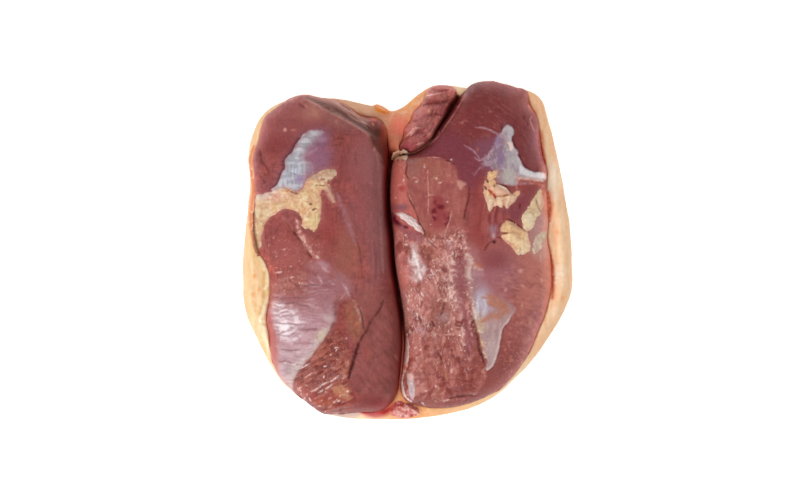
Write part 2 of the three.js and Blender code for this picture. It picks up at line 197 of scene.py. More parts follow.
def line(x, y, path, width, taper=True):
    """1 on a path, falling off to both sides, and thinning towards its ends."""
    knots = np.array(path, float)
    low, high = knots.min(axis=0) - 3 * width, knots.max(axis=0) + 3 * width
    near = (x > low[0]) & (x < high[0]) & (y > low[1]) & (y < high[1])
    mask = np.zeros(x.shape)
    if near.any():
        distance, along = path_distance(x[near], y[near], path)
        thickness = width * (0.35 + 0.65 * np.sin(np.pi * along)**0.6) if taper else width
        mask[near] = np.exp(-(distance / thickness)**2)
    return mask


def depth_inside(x, y, outline, count=160):
    """Distance in from a closed outline, negative outside it."""
    edge = spline(outline, count)[:, :2]
    best = np.full(x.shape, np.inf)
    inside = np.zeros(x.shape, bool)
    for (ax, ay), (bx, by) in zip(edge, np.roll(edge, -1, axis=0)):
        t = ((x - ax) * (bx - ax) + (y - ay) * (by - ay)) / ((bx - ax)**2 + (by - ay)**2)
        t = np.clip(t, 0, 1)
        best = np.minimum(best, (ax + t * (bx - ax) - x)**2 + (ay + t * (by - ay) - y)**2)
        crosses = (ay > y) != (by > y)
        if by != ay:
            inside ^= crosses & (x < (bx - ax) * (y - ay) / (by - ay) + ax)
    return np.where(inside, 1, -1) * np.sqrt(best)


def region(x, y, outline, soft, ragged=0.0, seed=0):
    """1 inside an outline and 0 outside it, over a border of the given softness."""
    near = np.array(outline, float)
    margin = soft + ragged + 1
    box = (x > near[:, 0].min() - margin) & (x < near[:, 0].max() + margin)
    box &= (y > near[:, 1].min() - margin) & (y < near[:, 1].max() + margin)
    mask = np.zeros(x.shape)
    if box.any():
        depth = depth_inside(x[box], y[box], outline, 6 * len(outline))
        depth = depth + ragged * cloud(x[box], y[box], 3.0, 3, seed)
        mask[box] = smooth(-soft, soft, depth)
    return mask


def oval(x, y, centre, radii, turn=0.0):
    """1 in the middle of an oval, falling off to nothing outside it; turned by some degrees."""
    c, s = math.cos(math.radians(turn)), math.sin(math.radians(turn))
    dx, dy = x - centre[0], y - centre[1]
    u, v = (c * dx + s * dy) / radii[0], (c * dy - s * dx) / radii[1]
    return np.exp(-(u * u + v * v)**1.5)


def inset(x, y, outline):
    """Distance in from an outline weighted by its steepness, with no creases, the plain
    distance, and the steepness of the nearest stretch."""
    samples = spline(outline, 600)
    step = np.hypot(*(samples[1, :2] - samples[0, :2]))
    soft, plain, steepness = np.empty(x.shape), np.empty(x.shape), np.empty(x.shape)
    for start in range(0, len(x), CHUNK):
        part = slice(start, start + CHUNK)
        away = np.hypot(x[part, None] - samples[:, 0], y[part, None] - samples[:, 1])
        away = np.maximum(away, 1e-6)
        nearest = away.argmin(axis=1)
        distance = away[np.arange(len(away)), nearest]
        pull = (step / (samples[:, 2]**2 * away**3)).sum(axis=1)
        weighted = np.sqrt(2 / pull)
        soft[part] = np.where(distance < NEAR_EDGE, distance * samples[nearest, 2], weighted)
        plain[part] = distance
        steepness[part] = samples[nearest, 2]
    return soft, plain, steepness


# ---- layers of paint and relief ----------------------------------------------------------


class Layers:
    """Relief, colour, wetness and grain of a stretch of surface, point by point."""

    def __init__(self, x, y, colour, wet=0.1, grain=0.3):
        self.x, self.y = x, y
        self.rise = np.zeros(x.shape)
        self.colour = np.tile(np.array(colour, float), (len(x), 1))
        self.wet = np.full(x.shape, float(wet))
        self.grain = np.full(x.shape, float(grain))

    def blend(self, mask, colour=None, strength=1.0, rise=0.0, wet=None, grain=None):
        amount = np.clip(mask * strength, 0, 1)
        if colour is not None:
            self.colour += amount[:, None] * (np.array(colour, float) - self.colour)
        if wet is not None:
            self.wet += amount * (wet - self.wet)
        if grain is not None:
            self.grain += amount * (grain - self.grain)
        self.rise += mask * rise

    def stroke(self, path, width, colour=None, strength=0.8, **also):
        mask = line(self.x, self.y, path, width)
        uneven = 0.85 + 0.45 * noise(self.x, self.y, 1.3, 7)
        self.blend(mask * np.clip(uneven, 0.3, 1), colour, strength, **also)

    def dab(self, centre, radii, colour=None, strength=0.8, turn=0.0, **also):
        self.blend(oval(self.x, self.y, centre, radii, turn), colour, strength, **also)

    def fill(self, outline, soft, colour=None, strength=0.8, ragged=0.0, seed=0, **also):
        mask = region(self.x, self.y, outline, soft, ragged, seed)
        self.blend(mask, colour, strength, **also)
        return mask

    def shade(self, factor):
        self.colour *= factor[:, None]

    def at(self, index):
        """The layers at some of the places, in the order given."""
        part = Layers(self.x[index], self.y[index], (0, 0, 0))
        part.rise, part.colour = self.rise[index], self.colour[index]
        part.wet, part.grain = self.wet[index], self.grain[index]
        return part


def turned(x, y, angle, across, along):
    """Places along and across a direction, in steps of the given lengths."""
    c, s = math.cos(math.radians(angle)), math.sin(math.radians(angle))
    return (c * x + s * y) / along, (c * y - s * x) / across


def flecks(x, y, across, along, angle, share, seed):
    """Small sharp flecks, drawn out along an angle, over about the given share of it all."""
    u, v = turned(x, y, angle, across, along)
    field = 0.65 * noise(u, v, 1, seed) + 0.35 * noise(u, v, 0.5, seed + 1)
    return smooth(0, 0.14, field - (0.6 - share))


def web(x, y, size, thickness, seed):
    """Thin winding lines that meet in places, as folds and connective tissue do."""
    field = cloud(x, y, size, 2, seed)
    return smooth(thickness, 0.3 * thickness, np.abs(field))


def flesh_grain(s, seed, strength=1.0):
    """The small unevenness of cut flesh: blotches, fibres and faint cross wrinkles."""
    x, y = s.x, s.y
    bend = 1.5 * noise(x, y, 9, seed + 1)
    fibre = noise((x + bend) / 0.9, y / 5, 1, seed + 7)
    wrinkle = noise(x / 4.5, (y + bend) / 0.9, 1, seed + 8)
    blotch = 0.07 * cloud(x, y, 13, 2, seed) + 0.1 * cloud(x, y, 3.2, 2, seed + 3)
    patchy = smooth(-0.3, 0.5, cloud(x, y, 8, 2, seed + 5))
    fine = 0.08 * noise(x, y, 1.1, seed + 6) + 0.09 * wrinkle * patchy + 0.08 * fibre * (1.2 - patchy)
    s.shade(1 + strength * (blotch + fine))
    warm = cloud(x, y, 6, 2, seed + 9)
    s.colour[:, 0] += 5 * strength * warm
    s.colour[:, 2] -= 4 * strength * warm
    s.rise += strength * (0.1 * noise(x, y, 1.9, seed + 11) + 0.07 * wrinkle * patchy + 0.06 * fibre)


def glints(s, centres, size, seed):
    """Small uneven wet highlights."""
    random = np.random.RandomState(seed)
    broken = smooth(-0.4, 0.2, noise(s.x, s.y, 0.8, seed))
    for centre in centres:
        radii = (size * random.uniform(0.7, 1.3), 0.6 * size * random.uniform(0.7, 1.2))
        mask = oval(s.x, s.y, centre, radii, random.uniform(0, 180))
        s.blend(mask * broken, (244, 222, 214), 0.85, rise=0.2, wet=1)


def tones(s, spots):
    """Broad patches of tone, most of them the flesh's own colour and a few painted light against shade: the
    middle, radii, colour, strength and turn of each.
    """
    for centre, radii, colour, strength, turn in spots:
        s.dab(centre, radii, colour, strength, turn)


# ---- left breast -------------------------------------------------------------------------

CUT_END = [
    (-56, 83), (-46.5, 83.5), (-38, 82), (-32.5, 79), (-26, 74.5), (-21.5, 71), (-19.5, 66),
    (-17, 61), (-17.5, 57), (-21, 63.5), (-25, 66), (-31, 69.5), (-36, 72.5), (-41, 75),
    (-47, 78.5), (-52, 81),
]
CUT_CREST = [
    (-56, 81.8), (-51, 79.6), (-46, 76.8), (-41, 74.2), (-36, 71.6), (-31, 69), (-26, 66),
    (-22, 63.2), (-19.6, 59), (-18, 55.5), (-15.5, 51.8), (-13.5, 48.5),
]
UPPER_FILM = [
    (-52, 65.4), (-56.5, 62.5), (-58.5, 60), (-61, 56.5), (-62.5, 53.5), (-65, 50.8),
    (-66.7, 48.5), (-66.3, 45), (-68, 42), (-69.5, 38.5), (-71, 35.5), (-74, 32.5), (-64, 31),
    (-56, 34), (-47, 39), (-41, 45), (-38, 53), (-40, 60), (-44.5, 64.6),
]
UPPER_FILM_EDGE = [(-54, 65), *UPPER_FILM[1:12]]
PURPLE_TRAIL = [(-38, 31), (-36.3, 26), (-34, 20.5), (-31.8, 14.5), (-30, 9), (-28, 3)]
GROOVE = [(-66, 16), (-62, 10.5), (-58.5, 6.5), (-55.5, 2), (-53, -2), (-52, -3.5)]
STRAND = [
    (-60.5, 17.5), (-59.3, 13.5), (-58.3, 9.5), (-56.3, 6.3), (-55, 3), (-53, 0), (-51, -2),
    (-48, -4),
]
LOWER_FILM = [
    (-74.5, -28), (-74, -20), (-68, -15), (-55, -10), (-46.5, -6.5), (-38, -10.5), (-30, -17.5),
    (-32, -25), (-39, -27), (-39.2, -31), (-39.2, -35), (-40.2, -38.5), (-42.2, -43),
    (-44.3, -47), (-47.3, -51), (-50.2, -55), (-53.2, -59), (-56.2, -62.3), (-58.7, -65.3),
    (-60.7, -69), (-62, -74.5), (-62.5, -77.5), (-66, -75), (-69.5, -69), (-70, -62),
    (-70.5, -55), (-71, -47), (-72, -41), (-73.2, -37), (-75, -33),
]
LOWER_FILM_EDGE = [
    (-32, -21), (-36, -26), (-39, -28.5), (-39.2, -32), *LOWER_FILM[10:20], (-62, -75),
]
GLARE = [
    (-74, -33), (-69, -31.5), (-61, -31.5), (-57, -36), (-55, -39), (-58, -43), (-60, -48),
    (-66, -48.5), (-70, -46), (-72, -40),
]
LONG_WRINKLES = [
    [(-71.5, -39.3), (-66, -39.6), (-61, -39.9), (-55, -39.9)],
    [(-73, -25.2), (-67, -25.8), (-60, -25.4), (-54, -25.6)],
    [(-72, -28.4), (-66, -28.7), (-60, -28.2), (-56, -29.6), (-52, -30.3)],
    [(-60, -42.4), (-54, -42.6), (-48.5, -42.2)],
    [(-66, -18.8), (-58, -19), (-50, -18.6), (-42, -19.2)],
    [(-70, -60.2), (-66, -60), (-62, -61), (-59, -62)],
    [(-71, -45), (-67, -46.3), (-63, -45.6), (-60, -43.8)],
    [(-69, -53.5), (-63, -54), (-58, -53.4)],
]
FILM_GLINTS = [
    [(-48.2, -13), (-47.2, -15.5), (-45.5, -18)], [(-49.4, -6), (-46.8, -8.4), (-43.6, -10.4)],
    [(-47.6, -8.8), (-45, -10.6), (-41.6, -12.4)], [(-44, -12.6), (-40.6, -14.4), (-37.6, -17)],
    [(-35.6, -17.4), (-33, -20.6), (-31.4, -24.4)], [(-42.6, -16.4), (-39.4, -18.4)],
    [(-31, -24), (-29, -27.6), (-27, -30.6), (-25.8, -34)],
]
BROWN_FILM = [
    (-32, -27.5), (-28, -28.5), (-25.5, -33), (-24.2, -40), (-24.8, -46), (-28, -49),
    (-31, -46), (-32.5, -38), (-33, -31),
]
RED_END = [
    (-61.5, -77), (-60.5, -69.5), (-55, -61.5), (-48.5, -54), (-43, -46), (-38, -43),
    (-33, -48), (-30, -55), (-31, -63), (-33, -70.5), (-29, -79), (-31, -87), (-42, -89),
    (-50, -86), (-57, -81.5),
]
TAN_FAT = [
    (-40, -74), (-36, -72.5), (-33, -75), (-30.5, -77), (-31, -80), (-34, -80.7), (-37, -79.2),
    (-40, -77),
]
FORK_LONG = [
    (-13, -27), (-14.5, -31), (-17, -34.5), (-20, -38.5), (-22, -43), (-24, -46), (-26, -49.5),
    (-27.6, -54), (-28.6, -58), (-29.6, -61.5), (-31, -65.5), (-31.6, -69),
]
FORK_SHORT = [(-26.5, -30), (-24.8, -34), (-24.1, -39), (-23.2, -43)]
FORK_LIP = [(-29, -30), (-27, -32), (-25.9, -35), (-25, -39)]
DIAGONAL_MUSCLE = [
    (-14, -26), (-9, -26), (-7.5, -40), (-5.5, -55), (-5, -68), (-9, -80), (-22, -84),
    (-29, -76), (-30.5, -66), (-27.5, -54), (-22, -42), (-17, -33),
]
# Painted highlights on the red end: paths of the white glint strokes.
PAINTED_GLINT_STROKES = [
    [(-52.5, -76.6), (-49.5, -75.2), (-47, -73.6)], [(-47, -73.2), (-44.5, -71.8), (-42.5, -71)],
    [(-42, -71.2), (-39.5, -69.6), (-37.2, -67.6)], [(-48.5, -77.2), (-45.5, -75.6)],
    [(-44.5, -75), (-42, -73.4), (-40.5, -72.2)], [(-39.3, -53), (-37.6, -50.8)],
    [(-38.9, -54.4), (-37.2, -52.2)], [(-58, -64), (-55.5, -62.5), (-53, -61)],
    [(-54, -73.5), (-55.5, -72.8)], [(-53.5, -80), (-52.5, -82)], [(-48.6, -84.8), (-47, -84.2)],
    [(-43.5, -85.5), (-41, -84.2)], [(-38, -82), (-36.5, -81)], [(-33, -76.6), (-32, -76)],
    [(-45.5, -69), (-45, -67.5)], [(-45.5, -62.7), (-43.8, -62.6)], [(-33.3, -48), (-32.8, -47)],
    [(-41.8, -56.8), (-41, -56)],
]
# Painted highlights: the middle, radii and turn of each glint on the left muscle.
LEFT_PAINTED_GLINTS = [
    ((-67, 0.4), (2.0, 0.5), 12), ((-59.2, -5.8), (1.0, 0.6), 0), ((-53, -6.2), (1.2, 0.5), 20),
    ((-49.2, -1.3), (0.9, 0.7), 0), ((-48.2, -3.4), (1.1, 0.6), -20), ((-69.5, -11.8), (2.4, 0.6), 5),
    ((-57.5, -17.6), (2.4, 0.45), -4), ((-56.2, -19.8), (1.4, 0.4), -8), ((-62.6, -14.6), (1.2, 0.5), 10),
    ((-67.4, -20.8), (1.3, 0.7), -20), ((-71.7, -18.6), (0.9, 0.5), 0), ((-59, -55), (1.6, 0.6), -5),
    ((-66.3, -60.7), (1.8, 0.6), 5), ((-61.5, -61.6), (1.5, 0.7), 10), ((-56.6, -59.1), (1.1, 0.5), 0),
    ((-40.8, -30.2), (0.6, 1.4), 0), ((-46.2, 35.8), (0.8, 0.5), 0), ((-68.5, -8.2), (1.1, 0.4), 0),
    ((-71.6, -3.2), (1.0, 0.4), 10), ((-63.5, -8.5), (0.8, 0.4), 0),
]

MEAT = (146, 76, 73)
# Painted shade for steep walls, and a red painted brighter than the flesh for the foot of the cleft, against
# the shade there.
SHADED_WALL_RED = (118, 48, 44)
CLEFT_FOOT_PAINTED_LIGHT = (190, 66, 56)
SHINE = (236, 206, 202)
FAT_CREAM = (231, 192, 142)

LEFT_TONES = [
    ((-64, 64), (18, 16), (146, 82, 81), 0.75, 0), ((-48, 68), (9, 6), (146, 80, 78), 0.6, -20),
    ((-50, 76), (10, 6), (178, 120, 110), 0.8, 12),
    ((-39, 70), (8, 4), (160, 100, 94), 0.75, -30), ((-34, 44), (6, 9), (126, 64, 66), 0.6, 0),
    ((-25, 44), (8, 9), (136, 74, 72), 0.5, 0),
    ((-24, 50), (9, 16), (152, 90, 91), 0.75, 0),
    ((-26, 20), (9, 16), (144, 84, 84), 0.6, 0), ((-33, -3), (8, 16), (158, 97, 84), 0.7, 0),
    ((-42, 14), (5, 14), (150, 70, 68), 0.6, 0), ((-62, -2), (12, 9), (164, 92, 86), 0.7, 0),
    ((-48, -3), (6, 8), (166, 96, 92), 0.6, 20), ((-56, 5), (7, 5), (168, 96, 90), 0.6, 0),
    ((-67, 5), (9, 9), (156, 84, 80), 0.6, 0), ((-22, -26), (7, 9), (158, 98, 92), 0.7, 0),
]


def paint_left(s):
    x, y = s.x, s.y
    flesh_grain(s, 12)
    s.rise += 0.45 * cloud(x, y, 12, 2, 14)
    tones(s, LEFT_TONES)
    # Partly painted light: a mauve-red band along the left muscle's inner side, its own tone painted lighter
    # against the shade of the cleft wall.
    inner = smooth(-27, -15, x) * smooth(-26, -6, y) * smooth(62, 50, y)
    s.blend(inner, (146, 94, 95), 0.8)
    s.blend(smooth(-30, -16, x) * smooth(-14, -34, y), (140, 80, 76), 0.8)
    s.stroke([(-19, 57), (-15.6, 48), (-15, 36), (-14.6, 20), (-14, 4), (-13.2, -12)], 1.3,
             (178, 130, 128), 0.6)
    for path in ([(-26, 2), (-25, -6), (-24.5, -15)], [(-29, 8), (-27, 4), (-25.3, 0)],
                 [(-18, 5), (-17, -4), (-17, -16)], [(-28, 54), (-28, 49), (-27.6, 45)]):
        s.stroke(path, 0.7, (112, 56, 58), 0.4, rise=-0.15)
    paint_left_top(s)
    paint_upper_film(s)
    paint_lower_film(s)
    paint_groove(s)
    paint_red_end(s)
    paint_fork(s)
    around = region(x, y, LEFT_FAT, 2.4, 1.4, 401)
    s.blend(around, (192, 130, 116), 0.6)
    s.stroke([(-46, 34.5), (-43.8, 33), (-41.7, 29.5), (-40, 26)], 1.3, (206, 156, 140), 0.9, rise=0.4)
    s.stroke(PURPLE_TRAIL, 1.5, (164, 116, 126), 0.7)
    s.stroke([(-20.5, 38), (-19.5, 36.5), (-18.5, 36)], 0.6, (170, 110, 108), 0.7)
    # Painted highlights: pale wet glints, broken up.
    broken = smooth(-0.3, 0.3, noise(x, y, 0.9, 17))
    for centre, radii, turn in LEFT_PAINTED_GLINTS:
        mask = oval(x, y, centre, (radii[0], 0.75 * radii[1]), turn)
        s.blend(mask * broken, SHINE, 0.8, rise=0.2, wet=1)
    # Painted highlights: small wet glints on the flesh between the groove and the lower film.
    ground = smooth(-50, -60, x) * smooth(14, 4, y) * smooth(-22, -12, y)
    s.blend(ground * flecks(x, y, 0.6, 1.1, -10, 0.06, 18), (212, 152, 142), 0.6, rise=0.15, wet=1)


def paint_left_top(s):
    x, y = s.x, s.y
    facet = s.fill(CUT_END, 1.8, (150, 106, 95), 0.9, 1.4, 21, wet=0.15)
    s.blend(facet * smooth(-34, -24, x), (136, 94, 84), 0.7)
    u, v = turned(x, y, -32, 1.1, 7)
    grain = noise(u, v, 1, 22)
    s.blend(facet * smooth(0.1, 0.5, grain), (182, 142, 128), 0.65)
    s.blend(facet * smooth(-0.1, -0.45, grain), (98, 62, 58), 0.65)
    s.rise += 0.45 * facet * grain
    s.blend(facet * smooth(79.5, 82, y), (150, 96, 84), 0.7)
    shadow = [(px + 0.9, py + 1.5) for px, py in CUT_CREST[:8]]
    s.stroke(shadow, 1.2, (98, 58, 54), 0.55, rise=-0.5)
    s.stroke(CUT_CREST, 0.8, (190, 134, 122), 0.6, rise=0.4)
    s.fill([(-22, 66.5), (-17, 69.5), (-10, 68), (-9.5, 58), (-9.8, 46), (-13, 46.5), (-15.2, 51.5),
            (-17.8, 55.5), (-20, 61)], 1.8, (100, 56, 50), 0.8, 1.6, 25, rise=-2)
    s.dab((-15.5, 64.5), (3, 3), (66, 36, 33), 0.7)
    s.dab((-12.5, 61), (1.6, 5), (96, 26, 22), 0.7)
    s.blend(smooth(-17, -11.5, x) * smooth(54, 60, y), (152, 82, 62), 0.7)
    lump = oval(x, y, (-15, 71), (5.5, 4.5))
    s.blend(lump, (150, 84, 78), 0.9, rise=1.6)
    s.blend(lump * smooth(0.1, 0.5, cloud(x, y, 3, 2, 24)), (96, 44, 44), 0.6)
    s.stroke([(-17.5, 74), (-18.2, 72.5), (-17.6, 70.5)], 1.0, (190, 92, 76), 0.8)
    s.stroke([(-19.2, 69.5), (-18.3, 67.8)], 0.8, (192, 140, 128), 0.8)
    s.stroke([(-28, 71), (-25, 69), (-21.5, 66.2)], 0.55, (150, 118, 112), 0.7)
    s.stroke([(-68, 80.5), (-64, 82.2), (-59.5, 83.8)], 1.5, (180, 130, 122), 0.6)
    s.stroke([(-60, 79), (-56.5, 77.6), (-54, 78)], 1.2, (176, 92, 88), 0.6)
    s.stroke([(-52.5, 77.5), (-50.5, 75), (-48.5, 72)], 1.4, (186, 122, 102), 0.6)
    s.stroke([(-55.8, 78.8), (-54.2, 77.4)], 0.7, (206, 140, 124), 0.6)
    s.dab((-66.3, 65.3), (1.0, 1.1), (214, 156, 144), 0.9)
    s.dab((-61.8, 65.2), (1.5, 0.6), (186, 122, 114), 0.8)
    s.dab((-38.5, 69.8), (0.8, 1.0), (190, 126, 112), 0.7)
    for path in ([(-79.8, 54), (-78.6, 48.5), (-76.4, 45.2), (-75, 42)], [(-80.4, 41), (-77.2, 37)],
                 [(-59, 79.6), (-57.5, 78.4), (-55.5, 77)]):
        s.stroke(path, 0.9, (98, 46, 44), 0.6, rise=-0.5)
    s.dab((-80.5, 53), (1.2, 2.2), (104, 42, 44), 0.6)
    s.dab((-70, 57), (10, 6), (126, 56, 56), 0.5)
    s.dab((-66, 74), (9, 3), (162, 92, 88), 0.5)


def paint_upper_film(s):
    x, y = s.x, s.y
    film = region(x, y, UPPER_FILM, 2.6, 1.0, 31)
    crisp = region(x, y, UPPER_FILM, 0.35, 0.4, 32)
    distance, _ = path_distance(x, y, UPPER_FILM_EDGE)
    low = smooth(52, 44, y)
    reach = 8 - 2 * smooth(54, 50, y) * (1 - low) + 5 * low
    uneven = distance + 2 * noise(x, y, 5, 35)
    silver = smooth(-42, -49, x) * film * crisp * smooth(1.35, 0.5, uneven / reach)
    bend = 1.2 * noise(x, y, 7, 34)
    fold = noise(x / 7, (y + bend) / 1.2, 1, 33)
    upright = noise(x / 0.9, (y + bend) / 4, 1, 36)
    haze = region(x, y, UPPER_FILM, 6, 2, 31) * smooth(-35, -48, x + 3 * noise(x, y, 8, 38))
    s.blend(haze, (142, 92, 108), 0.75)
    s.dab((-48, 50), (8, 7), (144, 100, 122), 0.7)
    s.dab((-46.5, 61), (5, 6), (140, 95, 118), 0.6)
    s.blend(silver, (176, 174, 178), 0.85)
    s.blend(silver * smooth(58, 46, y) * smooth(-48, -58, x), (186, 190, 200), 0.6)
    s.blend(silver * smooth(0.0, 0.6, fold), (202, 200, 204), 0.6)
    s.blend(silver * smooth(-0.05, -0.6, fold), (146, 140, 148), 0.6)
    s.blend(silver * smooth(0.1, 0.7, upright) * smooth(56, 44, y), (206, 210, 220), 0.5)
    s.blend(silver * smooth(-0.1, -0.7, upright) * smooth(56, 44, y), (150, 142, 160), 0.45)
    s.stroke([(-48.5, 55.6), (-52, 53), (-56, 50.8), (-60, 49)], 1.0, (188, 172, 182), 0.35)
    s.stroke([(-59.5, 57.6), (-54, 57.7), (-48, 57.4), (-43, 57.6)], 0.4, (112, 98, 112), 0.7, rise=-0.2)
    s.stroke([(-66, 44), (-62, 41.6), (-58.5, 41.2)], 0.4, (132, 124, 140), 0.6, rise=-0.2)
    s.dab((-58, 38.5), (3, 2.4), (148, 124, 156), 0.75)
    s.dab((-54.6, 55.8), (0.8, 2.0), (136, 132, 144), 0.6)
    s.dab((-57.6, 52.2), (0.9, 1.2), (134, 128, 138), 0.6)
    s.dab((-58.5, 55), (1.8, 0.7), (218, 214, 214), 0.7, 10)
    s.dab((-60, 50), (1.2, 0.8), (212, 210, 214), 0.7)
    s.dab((-46, 60), (2.2, 1.6), (170, 150, 164), 0.5)
    s.blend(crisp * smooth(-38, -44, x), rise=0.4)
    s.rise += 0.1 * silver * (fold + upright)
    rim = np.exp(-(distance / 0.6)**2) * crisp
    s.blend(rim * smooth(-0.4, 0.4, noise(x, y, 2, 37)), (214, 202, 204), 0.5)
    # Painted shadow: dark purple-red just outside the film's raised edge.
    s.blend(np.exp(-(distance / 1.5)**2) * (1 - crisp) * smooth(67, 60, y), (90, 42, 50), 0.7, rise=-0.5)


def paint_groove(s):
    x, y = s.x, s.y
    rough = cloud(x, y, 1.8, 2, 41)
    s.stroke(GROOVE, 2.6, (128, 62, 58), 0.4, rise=-0.7)
    s.stroke(GROOVE, 0.6, (90, 38, 36), 0.8, rise=-0.7)
    s.stroke([(-68, 18.5), (-64.5, 14), (-62, 10.5)], 1.2, (192, 120, 110), 0.55, rise=0.2)
    strand = line(x, y, STRAND, 1.5)
    s.blend(strand, (198, 132, 120), 0.65, rise=0.3, wet=0.9, grain=1)
    s.blend(strand * smooth(0.05, 0.45, rough), (232, 188, 174), 0.75, rise=0.2)
    # Painted highlights: wet glints along the end of the strand.
    beads = line(x, y, [(-53, 6), (-50.5, 2.5), (-48.5, -2)], 3)
    s.blend(beads * flecks(x, y, 0.9, 1.3, -60, 0.24, 43), (216, 160, 152), 0.7, rise=0.2, wet=1)
    s.rise += 0.3 * strand * rough
    s.dab((-45.5, -7.5), (3.8, 1.8), (184, 146, 158), 0.7, -25)
    s.dab((-50, -9), (5, 2.4), (174, 122, 128), 0.6, -20)


def paint_lower_film(s):
    x, y = s.x, s.y
    film = region(x, y, LOWER_FILM, 3.0, 1.2, 51)
    crisp = region(x, y, LOWER_FILM, 0.4, 0.35, 52)
    distance, along = path_distance(x, y, LOWER_FILM_EDGE)
    low = smooth(-18, -40, y)
    warp = 1.6 * cloud(x, y, 8, 2, 53)
    s.blend(film, (174, 116, 112), 0.3, wet=0.7, grain=0.8)
    thin = smooth(-60, -50, x) * smooth(-6, -14, y)
    s.blend(film * thin * smooth(-0.6, 0.2, cloud(x, y, 6, 2, 44)), (162, 110, 116), 0.7)
    s.blend(film * low, (186, 146, 152), 0.85)
    s.blend(film * smooth(-48, -56, y), (188, 160, 164), 0.8)
    s.dab((-66, -66), (7, 6), (170, 144, 148), 0.8)
    s.dab((-67, -75), (6, 6), (156, 112, 110), 0.8)
    s.dab((-73, -63), (4, 7), (166, 124, 122), 0.7)
    s.blend(film * low * smooth(0.1, 0.7, cloud(x, y, 5, 2, 50)), (168, 116, 126), 0.5)
    border = film * crisp * smooth(6.5, 1.2, distance + 2 * noise(x, y, 5, 59))
    s.blend(border * smooth(0.12, 0.35, along), (200, 186, 178), 0.85)
    s.dab((-46.5, -46), (3.4, 3.2), (202, 184, 158), 0.75)
    s.blend(crisp * smooth(-24, -32, y), rise=0.35)
    edge = smooth(-20, -30, y)
    s.blend(np.exp(-(distance / 0.5)**2) * edge * smooth(-0.5, 0.3, noise(x, y, 2, 48)), (220, 198, 186), 0.6)
    # Painted shadow just outside the film's raised edge.
    s.blend(np.exp(-(distance / 0.9)**2) * (1 - crisp) * edge, (96, 42, 40), 0.55, rise=-0.3)
    folds = 1 - np.abs(noise(x / 9, (y + warp) / 2.2, 1, 54))
    fine = noise(x / 4, (y + warp) / 0.9, 1, 55)
    finer = noise((x + 0.4 * y) / 1.6, (y + warp) / 0.7, 1, 49)
    wrinkled = film * smooth(-8, -20, y) * smooth(-34, -46, x)
    s.rise += wrinkled * (0.14 * folds**6 + 0.13 * fine + 0.08 * finer)
    s.blend(wrinkled * smooth(0.93, 1.0, folds) * smooth(-0.3, 0.5, finer), (142, 88, 96), 0.4)
    s.blend(wrinkled * smooth(0.1, 0.7, fine), (204, 170, 172), 0.4)
    s.blend(wrinkled * smooth(-0.1, -0.7, fine), (156, 104, 110), 0.35)
    glare = region(x, y, GLARE, 3.0, 3.0, 56)
    crinkle = 0.6 * noise(x / 3.2 + 0.4 * warp, (y + warp) / 1.2, 1, 57)
    crinkle = crinkle + 0.4 * noise(x / 1.5, y / 0.9, 1, 58)
    s.blend(glare, (200, 174, 180), 0.5, wet=1, grain=1)
    s.blend(glare * smooth(-0.05, 0.4, crinkle), (246, 234, 238), 0.6)
    s.blend(glare * smooth(-0.15, -0.5, crinkle), (158, 124, 132), 0.45)
    s.rise += 0.2 * glare * crinkle
    core = oval(x, y, (-66, -42.3), (5.5, 3.2)) + oval(x, y, (-69.5, -30), (4.2, 2.2), -20)
    s.blend(core * smooth(-0.6, 0.1, crinkle), (252, 244, 246), 0.7)
    s.stroke([(-70, -38.3), (-64, -38.6), (-57, -38.8)], 0.6, (250, 226, 230), 0.6)
    for path in LONG_WRINKLES:
        s.stroke(path, 0.42, (126, 84, 88), 0.75, rise=-0.25)
    upper = film * smooth(-26, -20, y) * smooth(-52, -60, x)
    s.blend(upper, (158, 92, 84), 0.7, grain=1)
    s.blend(upper * smooth(0.1, 0.6, noise(x / 4, (y + warp) / 1.1, 1, 47)), (182, 112, 102), 0.5)
    s.blend(upper * smooth(-0.1, -0.6, noise(x / 4, (y + warp) / 1.1, 1, 47)), (130, 66, 62), 0.4)
    # Painted highlights: small wet glints on the upper part of the film.
    s.blend(upper * flecks(x, y, 0.7, 1.6, -3, 0.15, 60), (206, 144, 136), 0.6, rise=0.15, wet=1)
    for path in FILM_GLINTS:
        beaded = line(x, y, path, 0.7) * smooth(-0.5, 0.3, cloud(x, y, 1.8, 2, 76))
        s.blend(beaded, (218, 182, 184), 0.6, rise=0.2, wet=1)
    s.fill([(-75, -34), (-73.2, -40), (-72, -50), (-71, -60), (-72, -68), (-76, -58), (-79, -42)],
           2.2, (172, 98, 92), 0.75, 2.0, 61)


